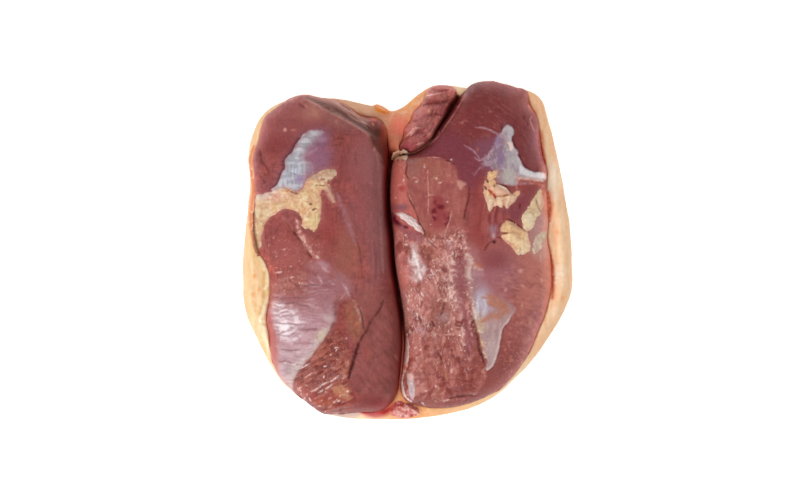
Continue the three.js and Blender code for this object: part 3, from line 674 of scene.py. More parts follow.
def paint_red_end(s):
    x, y = s.x, s.y
    red = region(x, y, RED_END, 2.0, 1.2, 62)
    rough = cloud(x, y, 2.6, 3, 63)
    u, v = turned(x, y, 28, 1.1, 4)
    torn = noise(u, v + 0.4 * rough, 1, 65)
    s.blend(red, (146, 74, 64), 0.85, wet=0.7, grain=0.8)
    s.blend(red * smooth(-70, -80, y), (150, 60, 52), 0.75)
    s.blend(red * smooth(0.1, 0.5, cloud(x, y, 6, 2, 64)), (170, 96, 76), 0.6)
    s.blend(red * smooth(0.1, 0.6, -rough), (108, 38, 36), 0.55)
    s.blend(red * smooth(0.15, 0.6, torn), (178, 100, 84), 0.45)
    s.blend(red * smooth(-0.15, -0.6, torn), (108, 42, 38), 0.5)
    s.rise += red * (0.35 * rough + 0.35 * torn)
    brown = s.fill(BROWN_FILM, 2.2, (160, 98, 78), 0.75, 2.2, 66, wet=0.4)
    s.blend(brown * smooth(0.0, -0.5, rough), (134, 72, 60), 0.6)
    s.blend(brown * smooth(0.1, 0.5, cloud(x, y, 3, 2, 46)), (184, 122, 92), 0.6)
    s.blend(brown * smooth(0.2, 0.6, cloud(x, y, 2, 2, 45)), (140, 112, 84), 0.4)
    s.stroke([(-29.2, -43), (-27.8, -45), (-26.8, -47)], 0.7, (116, 60, 46), 0.6)
    for path in ([(-48, -57.8), (-42, -59.6), (-36, -59), (-30.5, -56.6)],
                 [(-45.5, -55.6), (-39, -56.8), (-33, -54.6)], [(-47, -62.7), (-41, -63.9), (-37, -63)]):
        s.stroke(path, 0.5, (108, 44, 42), 0.5, rise=-0.25)
    s.stroke([(-31.5, -59.5), (-33.2, -63.5), (-35, -69)], 1.4, (196, 132, 102), 0.65, rise=0.2)
    s.fill(TAN_FAT, 1.6, (188, 126, 94), 0.85, 1.6, 67, rise=0.3)
    s.dab((-47, -82), (6, 2.4), (176, 88, 60), 0.6, -15)
    s.dab((-52, -79.5), (4, 2), (150, 48, 44), 0.6, -30)
    s.dab((-55, -75), (6, 4), (174, 102, 90), 0.5)
    # Painted highlights: wet glints drawn out along the torn ridges, and white glint strokes.
    zone = red * smooth(-60, -69, y) * smooth(-28, -36, x)
    ridges = smooth(-0.1, 0.4, torn + 0.3 * rough)
    s.blend(zone * ridges * flecks(x, y, 0.7, 2.4, 34, 0.2, 68), (240, 206, 196), 0.75, rise=0.25, wet=1)
    s.blend(red * ridges * flecks(x, y, 0.6, 1.6, 34, 0.1, 69), (206, 144, 134), 0.6, rise=0.15, wet=1)
    for path in PAINTED_GLINT_STROKES:
        s.stroke(path, 0.42, (252, 236, 230), 0.9, rise=0.25, wet=1)


def paint_fork(s):
    x, y = s.x, s.y
    below = region(x, y, DIAGONAL_MUSCLE, 2.2, 1, 71)
    u, v = turned(x, y, -52, 1.2, 6)
    grain = noise(u + 0.5 * noise(x, y, 6, 73), v, 1, 72)
    s.blend(below, (141, 81, 77), 0.6)
    s.shade(1 + below * (0.06 * grain + 0.12 * cloud(x, y, 4, 3, 74)))
    s.rise += below * (0.06 * grain + 0.15 * cloud(x, y, 3, 2, 75))
    s.dab((-22, -55), (2.5, 6), (160, 82, 76), 0.5)
    s.dab((-10, -84.5), (9, 3.4), (156, 44, 44), 0.85)
    s.dab((-20, -82), (9, 4), (124, 58, 56), 0.6)
    s.stroke([(-7, -56), (-6, -58), (-4.8, -60)], 0.6, (190, 130, 120), 0.8)
    # The fork's seam is painted as a dark line, with soft painted shade along its groove that deepens in the
    # lower part.
    s.stroke(FORK_LONG, 1.9, (116, 62, 58), 0.35, rise=-0.4)
    s.stroke(FORK_LONG, 0.6, (84, 42, 42), 0.85, rise=-0.4)
    s.stroke(FORK_LONG[6:], 0.8, (70, 30, 30), 0.8, rise=-0.4)
    s.stroke(FORK_SHORT, 0.6, (96, 50, 46), 0.75, rise=-0.5)
    s.stroke(FORK_LIP, 0.7, (190, 152, 146), 0.7, rise=0.3)


# ---- right breast ------------------------------------------------------------------------

PURPLE_ZONE = [
    (13.5, 59.5), (21, 64), (29.5, 61), (38.5, 56), (45, 60), (48.5, 62.5), (50.5, 49),
    (48.5, 35.5), (43, 42.5), (36, 35), (29.5, 36), (24, 46), (17.5, 51), (7, 52),
]
RIGHT_FILM = [
    (52.3, 67), (54, 67.8), (56.2, 66.5), (57, 64.5), (56.6, 60), (57.2, 57.3), (58.8, 54.5),
    (60.2, 51), (61.2, 48), (62.8, 45.8), (65, 43.8), (68.5, 42.6), (74.5, 41.8), (75, 38.8),
    (70, 38), (65, 38.3), (60.5, 36.8), (58.5, 35.4), (53, 35.2), (49, 36), (47.5, 38.5),
    (47, 42), (44, 45), (41, 47.5), (44, 52), (46.5, 57), (48, 61.5), (50.5, 64),
]
RIGHT_FILM_EDGE = [(51, 64.6), *RIGHT_FILM[:13]]
VEINS = [
    [(49, 63), (46.5, 64), (44.5, 65.2)], [(48, 62.5), (51, 61.2), (54, 60.6)],
    [(49.5, 63), (52, 62), (54, 60.6)], [(40, 49.5), (43, 50.8), (45, 53), (47, 55.5)],
    [(36, 50.5), (38.5, 48.6), (41.5, 49.4), (43.5, 50.5), (44, 53), (46, 54.6)],
    [(36, 40.5), (38, 43.5), (40.5, 45.6), (44, 46.2), (47, 48.4)],
    [(39.5, 46.8), (43, 47.2), (46, 49)], [(30.5, 57), (36, 53.5), (39, 49.2)],
    [(36.5, 66.4), (41, 66.2), (46, 64.6)],
]
SLAB = [
    (0, 50), (10, 50), (21.5, 49), (26, 45), (27.5, 38), (32, 33), (32.5, 27.5), (30.5, 18),
    (32, 6), (33, -2), (34, -9), (33, -22), (34.5, -32), (36.5, -42), (39.5, -53), (42.5, -64.5),
    (41, -73), (34, -79.5), (22, -82), (7, -82), (-2, -79), (-2, -60), (-1.5, -46), (-3, -27),
    (-6, -8), (-7, 15), (-10, 28), (-9, 40), (-8, 49),
]
INNER_STRIP = [
    (-9, 49), (-0.5, 48.5), (-0.8, 42), (-0.3, 34), (1, 28), (4, 22), (6.3, 15), (8, 12),
    (4, 6), (2, 0), (2.5, -10), (0, -17), (-5, -18), (-6.5, -6), (-7, 15), (-10, 28), (-9, 40),
]
ROUGH_ZONE = [
    (4, 4), (14, 8), (26, 12), (31, 8), (33, -4), (31, -16), (27, -24), (24, -38), (16, -46),
    (5, -52), (-1, -46), (-2, -28), (1, -14),
]
CREASES = [
    ([(-0.4, 49), (-0.3, 46), (-1, 42), (0, 39.6), (1.6, 38.4)], 0.6, -0.9),
    ([(0, 31.8), (0.5, 29), (2, 26), (4, 22), (5.5, 18.5), (6.3, 15), (8, 12), (9, 9.5), (10.6, 6)],
     0.6, -1.2),
    ([(10.6, 6), (13.5, 3.4), (16, 1)], 0.6, -0.6),
    ([(33.4, 34), (32.9, 28), (31.9, 24), (31, 20.5), (30.4, 17)], 0.8, -1.0),
    ([(34.5, -35), (36, -39), (37.2, -43), (38, -47), (38.5, -51), (40, -56), (42, -62)], 1.0, -1.3),
    ([(16.4, -55), (18, -58), (19.3, -61)], 0.8, -0.6),
    ([(23, -80.2), (27, -79.2), (32, -78.6), (37, -78.8)], 1.2, -0.8),
    ([(41.5, 0), (43.5, 3.5), (46, 5.2)], 0.8, -0.9),
    ([(46, 5.2), (47.2, 4)], 0.6, -0.6), ([(48.5, 7.2), (50.5, 6.8)], 0.7, -0.4),
    ([(20.5, 48.8), (23, 48.2), (25.5, 46.4)], 0.7, -0.5),
    ([(20, -28), (19.4, -31.5), (18, -35)], 0.9, -0.7),
    ([(13, -38), (14.5, -41)], 0.8, -0.5), ([(6.4, -81.5), (6.8, -84)], 0.7, -0.6),
    ([(63.5, 73), (62.5, 71)], 0.9, -0.4), ([(65, 69.5), (65, 67.5)], 0.6, -0.5),
    ([(53, 17), (55, 16.6), (57.5, 14.8), (60.5, 13.2), (62.8, 11.4)], 0.9, -0.8),
    ([(61, 25.5), (60.4, 22.5)], 0.6, -0.4), ([(62, 16.5), (62.4, 14.5)], 0.8, -0.5),
    ([(49, 36), (52, 35.2), (54, 34), (55, 32)], 0.7, -0.6),
]
PALE_LINES = [
    [(10.8, 44), (11, 37), (11.3, 30), (11.2, 24), (10.8, 19.5)], [(11.3, 30), (13, 30.1), (14.6, 29.7)],
    [(24, 22.5), (23.2, 17.5), (21.7, 13.2), (20.4, 9), (20, 4.8)],
    [(30.2, 11.5), (28.2, 9), (26.9, 6), (26, 2)], [(10.5, 50.1), (13.5, 50.4), (17.2, 50)],
    [(2, 38.6), (4, 39.5), (6, 37.6)], [(18, 8.6), (19, 7)], [(19.5, -45.6), (23.4, -45.4)],
    [(17.2, -77.8), (19.4, -77.2), (20.2, -75.4)], [(67.5, 73), (66.4, 70.6), (67.6, 67.5), (69, 64.5)],
    [(72, -1.6), (72.3, -4), (72.6, -6.4)],
    [(31, 84.6), (29, 80.4), (26.4, 76), (23.8, 72), (21, 68), (18.4, 64)],
    [(16.9, 64.5), (17.2, 62.5), (13.2, 58.6), (9, 55.8)],
]
# Painted highlights: paths and widths of rows of wet glints.
GLINT_BEAD_ROWS = [
    ([(23.6, -3), (24.6, -9), (23.6, -16), (22.8, -23)], 1.6), ([(24.6, -24), (23, -28)], 1.6),
    ([(25.5, -20.5), (25.4, -25), (27, -29)], 1.2), ([(27.2, -30), (28.4, -33.5), (28.4, -38)], 1.2),
    ([(28.8, -40.5), (30, -43.5), (29.8, -47)], 1.0), ([(30.2, -49.5), (30.6, -52), (29.8, -53.4)], 1.0),
    ([(33.6, -32), (34.2, -36), (33.4, -39.5)], 0.9), ([(12.4, -9.8), (14.2, -12.4), (16.8, -14.8)], 0.7),
    ([(16, -27.2), (19.6, -26), (22.4, -29.6)], 0.8), ([(6.3, -75), (6, -78.5)], 0.6),
    ([(30.8, 5), (31.8, 0), (33.4, -3.4), (35.6, -4.8)], 1.2),
    ([(15, -81.6), (19, -81.8), (22.8, -80.8)], 0.6),
    ([(24.2, -62), (24, -66)], 0.7), ([(-2.6, 5), (-1.2, 3.4), (0.2, 3)], 0.8),
    ([(34.6, -43), (35.4, -46.5)], 0.7),
]
GLINTS = [
    (12.6, 4.8), (22.6, 5.2), (22.9, 2.6), (12.7, 14), (23.6, 49), (4.8, 37.2), (-2, 37.8), (-6, 28.4),
    (-1, 8.2), (15.6, 39), (17.6, 36.6), (7.2, -53.6), (10.1, -76), (15.3, -73.6), (24, -42.5), (26, -13.4),
    (7.5, -65), (39.8, -35.2), (37.8, -33), (35, 3), (-5.5, -18.7), (14, -24), (22.4, -43.6),
    (42, -57.5), (39, -47), (8.2, -83), (8.8, -84.6), (1.6, -8.8), (9.2, 45.4), (21.4, 26.2),
]
TRIANGLE = [
    (33.5, -9), (37, -12), (42, -17.5), (47, -22.5), (51.5, -26), (56, -29), (58.3, -31.5),
    (55.8, -36), (54, -39), (51.6, -42), (50.6, -46), (50, -50), (49.3, -54), (48, -58),
    (46.8, -61.3), (45, -63.5), (42.8, -64.6), (43, -60), (42, -56), (41, -52), (39.5, -48),
    (38, -43), (36.5, -38), (35.6, -33), (33.6, -26), (32.6, -20), (33, -14),
]
TRIANGLE_EDGE = [(57.5, -32.5), *TRIANGLE[7:17]]
TRIANGLE_LEFT = [
    (30, 0), (32, -3), (34.6, -6), (33.4, -11), (34, -16), (34.4, -20), (33.6, -24), (35.4, -29),
    (36, -33), (36.8, -38), (38.4, -43), (40, -48), (41.4, -52), (42.6, -57),
]
BRUISE = [(-8.4, 20), (-6, 15.6), (-3, 13.4), (0, 12.4)]
PALE_OVALS = [
    ((61, -11), (1.6, 1.3), (212, 152, 144), 0), ((53, -21.4), (0.8, 1.0), (206, 150, 142), 0),
    ((62, -29.8), (0.7, 0.9), (204, 146, 122), 0), ((61.8, -39), (1.5, 0.7), (192, 128, 108), 35),
    ((66.5, -39.3), (0.9, 1.6), (190, 136, 112), -20), ((55, -49.4), (1.6, 0.6), (190, 120, 112), 0),
    ((56.2, -59.4), (1.2, 1.1), (180, 112, 96), 0), ((62.4, -19.3), (1.7, 0.5), (210, 150, 136), -35),
    ((52.8, -53.6), (0.6, 0.9), (196, 126, 116), 0), ((72.8, -16), (0.7, 1.2), (210, 150, 140), 20),
    ((29.6, 69), (0.7, 0.9), (176, 110, 106), 0), ((37.8, 54.5), (0.7, 1.4), (160, 92, 80), 0),
    ((55, -45), (1.4, 0.7), (170, 106, 96), 20), ((44.5, 75), (0.8, 0.6), (162, 100, 98), 0),
]

RIGHT_TONES = [
    ((60, 82), (8, 8), (150, 84, 80), 0.7, -50), ((68, 60), (4, 14), (140, 76, 78), 0.6, 0),
    ((66, 34), (9, 6), (146, 70, 66), 0.7, 0), ((66, 20), (8, 10), (150, 84, 84), 0.6, 0),
    ((48, 18), (6, 8), (146, 72, 72), 0.7, 0), ((40, 12), (6, 14), (158, 84, 78), 0.6, 0),
    ((58, -2), (12, 6), (158, 86, 86), 0.6, 0), ((46, -6), (6, 6), (138, 72, 74), 0.75, 0),
    ((72, 4), (5, 10), (160, 96, 96), 0.7, 0),
]


def paint_right(s):
    x, y = s.x, s.y
    flesh_grain(s, 112)
    s.rise += 0.4 * cloud(x, y, 11, 2, 114)
    upper = smooth(26, 56, y)
    s.blend(upper, (124, 58, 59), 0.92)
    s.blend(upper * smooth(0.0, 0.6, cloud(x, y, 7, 2, 116)), (138, 68, 66), 0.6)
    arcs = streaks(x, y, (20, 30), 0.8, 3.6, 111)
    s.blend(upper * smooth(0.25, 0.6, arcs), (160, 96, 92), 0.45, rise=0.08)
    s.blend(upper * smooth(-0.25, -0.7, arcs), (102, 44, 46), 0.4)
    tones(s, RIGHT_TONES)
    s.blend(smooth(30, 50, x) * smooth(20, -10, y), (170, 102, 95), 0.85)
    s.blend(oval(x, y, (70, -14), (12, 24)), (188, 116, 104), 0.9)
    s.blend(oval(x, y, (48, -13), (13, 13)), (160, 102, 108), 0.9)
    s.blend(oval(x, y, (55, -56), (9, 11)), (146, 78, 74), 0.8)
    s.blend(oval(x, y, (71, -40), (8, 16), -25), (162, 98, 98), 0.6)
    s.blend(smooth(30, 40, x) * smooth(-48, -62, y), (134, 70, 66), 0.65)
    lower_arcs = streaks(x, y, (38, -70), 0.9, 4, 117)
    outer = smooth(44, 54, x) * smooth(0, -14, y)
    s.blend(outer * smooth(0.1, 0.6, lower_arcs), (196, 128, 116), 0.5, rise=0.08)
    s.blend(outer * smooth(-0.1, -0.6, lower_arcs), (138, 76, 74), 0.45)
    s.blend(smooth(33, 38, x) * smooth(44, 40, x) * smooth(-4, 6, y) * smooth(44, 36, y), (146, 66, 64), 0.7)
    s.fill(PURPLE_ZONE, 4, (124, 60, 72), 0.7, 1.5, 121)
    s.blend(region(x, y, [(61, 30), (66, 26), (61, 18), (56, 20), (50, 22), (56, 26)], 2), (136, 66, 72), 0.7)
    s.blend(region(x, y, [(67, 5), (66, 12), (69, 16), (73, 17), (74, 12), (72, 6)], 1.4),
            (150, 94, 104), 0.8)
    paint_slab(s)
    paint_right_film(s)
    paint_triangle(s)
    paint_right_rim(s)
    below = smooth(27, 23, y) * smooth(2, 14, y) * smooth(36, 42, x) * smooth(60, 55, x)
    fibre = noise((x + 1.5 * noise(x, y, 6, 173)) / 1.0, y / 6, 1, 123)
    s.blend(below * smooth(0.0, 0.6, fibre), (168, 96, 90), 0.55, rise=0.15)
    s.blend(below * smooth(0.0, -0.6, fibre), (116, 50, 54), 0.6, rise=-0.15)
    mauve = region(x, y,
                   [(52, 34), (57, 30), (62, 30), (70, 33), (64, 23), (61, 17), (56, 17), (50, 23),
                    (56, 26)], 2)
    s.blend(mauve, (136, 72, 78), 0.6)
    s.blend(oval(x, y, (76, 0), (4, 40)), (206, 134, 112), 0.5)
    s.blend(region(x, y, [(69, 17), (73, 21), (75.4, 14), (73, 9), (69, 10)], 1.6), (176, 126, 134), 0.7)
    s.stroke([(71.6, 16.6), (73.4, 14), (73, 11.4)], 1.4, (150, 76, 82), 0.6)
    s.stroke([(59.4, 42), (59, 37), (59, 32)], 0.6, (206, 138, 134), 0.7)
    # Painted light: the right muscle's right side is painted paler against the shade where it slopes away
    # from the light.
    pale_side = smooth(70, 75, x) * smooth(50, 40, y) * smooth(-12, 0, y)
    s.blend(pale_side * smooth(-0.5, 0.3, cloud(x, y, 4, 2, 165)), (206, 146, 130), 0.6)
    for fat in (UPPER_FAT, RIM_FAT, MIDDLE_FAT):
        s.blend(region(x, y, fat, 2.4, 1.4, 411), (190, 128, 114), 0.6)
    beside = region(x, y, [(65, 13), (71, 19), (76, 20), (77, 0), (72, -5), (67, -3), (65, 4)], 2.4, 1.5, 166)
    s.blend(beside, (198, 150, 138), 0.6)
    for centre, radii, colour, turn in PALE_OVALS:
        s.dab(centre, radii, colour, 0.85, turn, rise=0.1)
    for path, width, depth in CREASES:
        s.stroke(path, 0.72 * width, (92, 34, 30), 0.9, rise=0.5 * depth)
    for path in PALE_LINES:
        s.stroke(path, 0.38, (220, 164, 150), 0.75, rise=0.1)
    s.dab((46.2, 11.4), (2.6, 2.6), (164, 128, 142), 0.7)
    s.dab((46.4, 8), (1.2, 1.6), (206, 186, 196), 0.6)
    s.blend(oval(x, y, (47, -5), (8, 5.5)), (136, 68, 70), 0.75)
    s.dab((46.8, 4.6), (0.8, 1.0), (44, 22, 20), 0.8)


def paint_right_rim(s):
    s.stroke([(73, 34), (74.6, 29), (75.2, 24), (75.6, 18), (75, 11), (75.5, 4)], 1.4, (206, 86, 56), 0.85)
    s.stroke([(66, 79), (67.5, 77.6), (70, 75.2)], 1.4, (216, 150, 132), 0.8)
    s.stroke([(71, 68), (70.6, 62), (71, 56), (72.6, 50), (74.6, 44)], 1.6, (168, 100, 104), 0.7)
    s.stroke([(69.5, 66), (68.8, 61), (69.4, 55)], 1.4, (146, 84, 96), 0.5)
    s.stroke([(31.5, 87), (31, 84), (29.4, 81)], 1.6, (172, 104, 98), 0.7)
    s.stroke([(61.5, 84), (63.5, 82), (64.5, 78)], 1.6, (140, 68, 56), 0.6)


SLAB_TONES = [
    ((12, -20), (8, 7), (186, 116, 108), 0.6, 0), ((3, -27), (6, 12), (198, 124, 116), 0.75, 0),
    ((10, -38), (6, 5), (168, 100, 90), 0.6, 0), ((22, -44), (5, 6), (140, 82, 70), 0.6, 0),
    ((3, -54), (5, 14), (184, 108, 100), 0.7, 0), ((10, -64), (7, 9), (160, 88, 78), 0.5, 0),
    ((28, -24), (4, 8), (150, 92, 84), 0.6, 0), ((8, -75), (6, 5), (150, 78, 70), 0.5, 0),
    ((36, -4), (4, 9), (176, 122, 122), 0.6, 15), ((33, -18), (3, 8), (158, 104, 100), 0.6, 0),
    ((35, -66), (6, 12), (136, 68, 64), 0.6, 0), ((22, -22), (8, 18), (200, 150, 140), 0.4, 0),
    ((20, -46), (9, 5), (146, 80, 72), 0.5, 0),
    ((35, -56), (5, 7), (134, 70, 66), 0.5, 0),
    # These two are painted light: the right muscle's edge along the cleft, brightened against the left
    # muscle's shadow.
    ((-5.4, -1), (3.4, 10), (220, 138, 130), 0.8, 0), ((-4, -16), (3.4, 10), (214, 130, 120), 0.8, 0),
]


def paint_slab(s):
    x, y = s.x, s.y
    slab = region(x, y, SLAB, 0.9, 0.8, 131)
    rough = cloud(x, y, 1.5, 3, 133)
    torn = noise((x + 0.35 * y) / 1.3, (y - 0.35 * x) / 5, 1, 134)
    s.blend(slab, (166, 93, 86), 0.9, wet=0.45, grain=0.4)
    upright = noise(x / 0.9, y / 6, 1, 126)
    s.blend(slab * smooth(10, 16, y) * smooth(0.1, 0.7, upright), (182, 112, 102), 0.4)
    s.blend(slab * smooth(10, 16, y) * smooth(-0.1, -0.7, upright), (146, 76, 72), 0.35)
    s.blend(slab * smooth(0.0, 0.5, cloud(x, y, 8, 2, 135)), (158, 96, 78), 0.5)
    s.blend(slab * smooth(-0.1, -0.6, cloud(x, y, 5, 2, 138)), (142, 70, 70), 0.5)
    s.dab((3, 45), (4, 6), (154, 100, 94), 0.7)
    s.dab((24, -63), (12, 15), (150, 78, 72), 0.7)
    s.dab((25, -46), (8, 6), (146, 78, 70), 0.5)
    s.dab((25, -49), (7, 4), (162, 84, 78), 0.8)
    strip = s.fill(INNER_STRIP, 0.8, (190, 104, 95), 0.9, 0.5, 132)
    s.blend(strip * flecks(x, y, 0.7, 2.0, 0, 0.14, 139) * smooth(26, 30, y), (216, 146, 132), 0.6)
    s.dab((-3, 33.4), (1.8, 1.6), (160, 56, 58), 0.7)
    s.dab((-3, 23.4), (3.4, 2.0), (124, 80, 92), 0.75)
    s.dab((-7.4, 23), (1.8, 3), (140, 78, 84), 0.6)
    s.rise += slab * (0.14 * rough + 0.14 * torn)
    zone = region(x, y, ROUGH_ZONE, 3.5, 2.0, 136)
    s.blend(zone, (176, 104, 94), 0.5, wet=0.85, grain=1)
    s.rise += zone * (0.22 * rough + 0.2 * noise(x, y, 1.8, 140))
    mottled = cloud(x, y, 5, 3, 127)
    whole = slab * smooth(14, 6, y)
    s.blend(whole * smooth(0.08, 0.4, mottled), (126, 56, 52), 0.65)
    s.blend(whole * smooth(0.08, 0.4, -mottled), (196, 128, 118), 0.65)
    s.blend(whole * smooth(0.2, 0.55, cloud(x, y, 4, 2, 129)), (160, 92, 74), 0.5)
    s.blend(whole * smooth(0.25, 0.55, cloud(x, y, 3.4, 2, 124)), (174, 118, 124), 0.5)
    s.blend(zone * smooth(0.1, 0.6, noise(x, y, 2.2, 141)), (146, 72, 68), 0.45)
    # Painted highlights: clusters of small wet glints.
    clustered = smooth(-0.25, 0.35, cloud(x, y, 6, 2, 170))
    s.blend(zone * clustered * flecks(x, y, 0.7, 1.0, 60, 0.3, 137), (236, 192, 182), 0.7, rise=0.3, wet=1)
    s.blend(whole * clustered * flecks(x, y, 0.7, 1.4, -70, 0.2, 125), (222, 170, 160), 0.6, rise=0.2, wet=1)
    tones(s, SLAB_TONES)
    uneven = smooth(-0.2, 0.4, cloud(x, y, 9, 2, 122))
    u, v = turned(x + 3 * cloud(x, y, 8, 2, 168), y + 3 * cloud(x, y, 8, 2, 169), 66, 1, 1.8)
    pits = smooth(0.14, 0.45, cloud(u, v, 4.6, 3, 118))
    ridges = smooth(0.14, 0.45, cloud(v, u, 3.4, 3, 154))
    s.blend(whole * pits, (120, 54, 50), 0.6, rise=-0.35)
    s.blend(whole * ridges, (208, 146, 136), 0.6, rise=0.25)
    s.blend(whole * web(v, 1.6 * u, 4, 0.12, 119) * uneven, (206, 150, 140), 0.3, rise=0.15)
    # Painted highlights: more wet glints, and a column of them.
    s.blend(zone * clustered * flecks(x, y, 0.55, 2.2, -62, 0.2, 171), (242, 216, 208), 0.75, rise=0.3, wet=1)
    s.blend(whole * uneven * flecks(x, y, 0.5, 1.8, 78, 0.16, 172), (234, 196, 186), 0.65, rise=0.25, wet=1)
    column = line(x, y, [(26, 6), (24, -10), (24, -24), (28, -38), (30, -52)], 4.5, taper=False)
    s.blend(column * flecks(x, y, 0.6, 1.3, 80, 0.3, 174), (238, 206, 194), 0.75, rise=0.3, wet=1)
    s.dab((14, -83), (12, 3), (140, 70, 62), 0.7)
    lower = slab * smooth(-44, -56, y) * smooth(-82, -74, y)
    # Painted highlights: sparse wet glints low on the slab.
    s.blend(lower * flecks(x, y, 0.8, 0.9, 20, 0.07, 144), (208, 154, 146), 0.6, rise=0.15, wet=1)
    s.blend(lower * smooth(0.1, 0.6, noise(x / 3, y / 1.2, 1, 128)), (172, 104, 94), 0.4)
    s.blend(lower * smooth(-0.1, -0.6, noise(x / 3, y / 1.2, 1, 128)), (132, 70, 64), 0.4)
    s.blend(slab * smooth(30, 38, y) * flecks(x, y, 0.6, 0.9, 0, 0.07, 146), (212, 150, 138), 0.5)
    plum = region(x, y, [(26, -4), (31, -6), (32, -16), (31, -30), (33, -40), (36, -50), (32, -56),
                         (31, -44), (29, -30), (26, -22), (25, -12)], 1.4, 0.8, 142)
    s.blend(plum, (142, 76, 82), 0.75)
    bruised = region(x, y, [(14, 29), (18, 28), (22, 20), (22.5, 14), (14, 13.5), (13, 20)], 1.6, 1.6, 143)
    s.blend(bruised, (146, 58, 62), 0.7)
    bend = 1.6 * cloud(x, y, 2.4, 2, 160)
    for centre, radii in (((15.8, 25.6), (1.6, 1.5)), ((14.9, 21.2), (1.1, 2.2)), ((18, 23.6), (1.7, 1.3)),
                          ((21.3, 18.6), (1.8, 2.2)), ((21.3, 15.6), (1.4, 2.6)), ((15.2, 17.6), (1.2, 1.5))):
        s.blend(oval(x + bend, y, centre, radii) * smooth(-0.6, 0.2, noise(x, y, 1.6, 150)),
                (96, 18, 30), 0.8)
    paint_glare_patch(s)
    s.fill([(14, -27), (20, -26), (23, -31), (23.5, -37), (20, -40.5), (15, -39), (13, -33)], 1.6,
           (152, 88, 78), 0.75, 0.6, 145, rise=-0.8)
    s.dab((19.8, -36), (3, 3), (172, 130, 130), 0.8)
    s.stroke([(20, -40.4), (23, -38), (23.6, -33.6)], 0.7, (206, 158, 146), 0.7, rise=0.4)
    s.stroke(BRUISE, 1.6, (78, 18, 34), 0.85)
    s.fill([(-5, 14), (0, 11), (7, 9), (9, 5), (4, 5), (-2, 9)], 1.2, (150, 84, 92), 0.7)
    s.dab((7, -43), (3, 2.4), (186, 132, 138), 0.6)
    s.fill([(27, 37.6), (29, 37.4), (31.6, 36.2), (30, 34.6), (28.6, 32.6), (27.6, 34.4)], 0.8,
           (204, 152, 136), 0.8, 0.7, 130)
    s.dab((3, -59), (1.6, 1.2), (146, 58, 52), 0.7)
    s.stroke([(20, -64), (21, -67), (21.4, -70)], 1.0, (184, 118, 92), 0.7)
    s.stroke([(17.6, -47.5), (16.4, -51), (15.4, -54.6)], 0.9, (180, 118, 98), 0.6)
    # Painted highlights: rows of wet glints.
    for row, width in GLINT_BEAD_ROWS:
        band = line(x, y, row, width)
        s.blend(band * smooth(-0.35, 0.3, rough), (230, 190, 180), 0.85, rise=0.45, wet=1)
    glints(s, GLINTS, 0.75, 149)


def paint_glare_patch(s):
    x, y = s.x, s.y
    patch = region(x, y, [(2, 3), (5, 2), (7, -5), (10, -8), (8, -16), (4, -17), (2, -10)], 1.8, 1.2, 147)
    s.blend(patch, (206, 170, 168), 0.75, wet=1, grain=1)
    s.blend(patch * smooth(-0.1, 0.4, noise(x, y, 1.5, 148)), (244, 228, 226), 0.6, rise=0.2)
    for centre, radii in (((3.8, -2.6), (1, 3)), ((5.2, -6.4), (0.8, 2.4)), ((6.6, -13.6), (0.9, 2.6))):
        s.dab(centre, radii, (252, 242, 238), 0.8, 14)


def paint_right_film(s):
    x, y = s.x, s.y
    film = region(x, y, RIGHT_FILM, 0.6, 0.9, 151)
    crisp = film * smooth(44, 49, x)
    distance, _ = path_distance(x, y, RIGHT_FILM_EDGE)
    s.fill([(36, 57), (46, 61), (52, 54), (50, 40), (44, 40), (40, 47)], 3.5, (130, 82, 98), 0.7)
    s.blend(film, (148, 128, 138), 0.75)
    s.blend(crisp * smooth(50, 55, x), (176, 166, 166), 0.9, rise=0.35, wet=0.6)
    s.blend(film * smooth(0.0, 0.5, cloud(x, y, 3.5, 3, 153)), (142, 118, 136), 0.6)
    s.blend(film * smooth(0.1, 0.6, streaks(x, y, (30, 46), 0.8, 5, 154)), (196, 184, 190), 0.5)
    s.dab((50.5, 50), (2.4, 4), (136, 110, 138), 0.8)
    s.dab((49, 59), (2, 3.4), (146, 118, 144), 0.8)
    s.dab((54.5, 40), (5, 4), (184, 172, 162), 0.7)
    s.blend(crisp * np.exp(-(distance / 1.8)**2), (206, 196, 196), 0.7, rise=0.2)
    band = region(x, y, [(61, 46), (64, 43.8), (68.5, 42.4), (74.6, 41.6), (74.8, 39.2), (69, 39.4),
                         (64, 40.4), (60.5, 42)], 0.7)
    s.blend(band, (222, 214, 216), 0.9, rise=0.4, wet=0.9)
    s.stroke([(58, 40), (61, 39), (66, 38.6), (74, 37.6)], 1.0, (228, 176, 154), 0.8)
    s.dab((61.2, 37.6), (1.6, 0.9), (176, 62, 54), 0.8, 20)
    s.stroke([(60, 35.6), (64, 36.4), (68, 36.2)], 0.8, (190, 146, 148), 0.7)
    s.stroke([(66, 37), (70, 36.2), (74.6, 35)], 0.7, (196, 110, 92), 0.8)
    # Painted shadow just outside the film's raised edge.
    s.blend(np.exp(-(distance / 0.9)**2) * (1 - film) * smooth(46, 52, x), (84, 36, 44), 0.6, rise=-0.5)
    for vein in VEINS:
        s.stroke(vein, 0.55, (188, 158, 168), 0.65, rise=0.15)
    s.fill([(53.6, 58.2), (56.6, 58.4), (57, 55), (55.8, 53.8), (54.8, 54.4), (54.6, 56.4)], 0.35,
           (230, 204, 198), 0.95, rise=0.6)
    s.stroke([(53.8, 57.8), (54.6, 55.6), (55, 54)], 0.5, (120, 84, 88), 0.6)


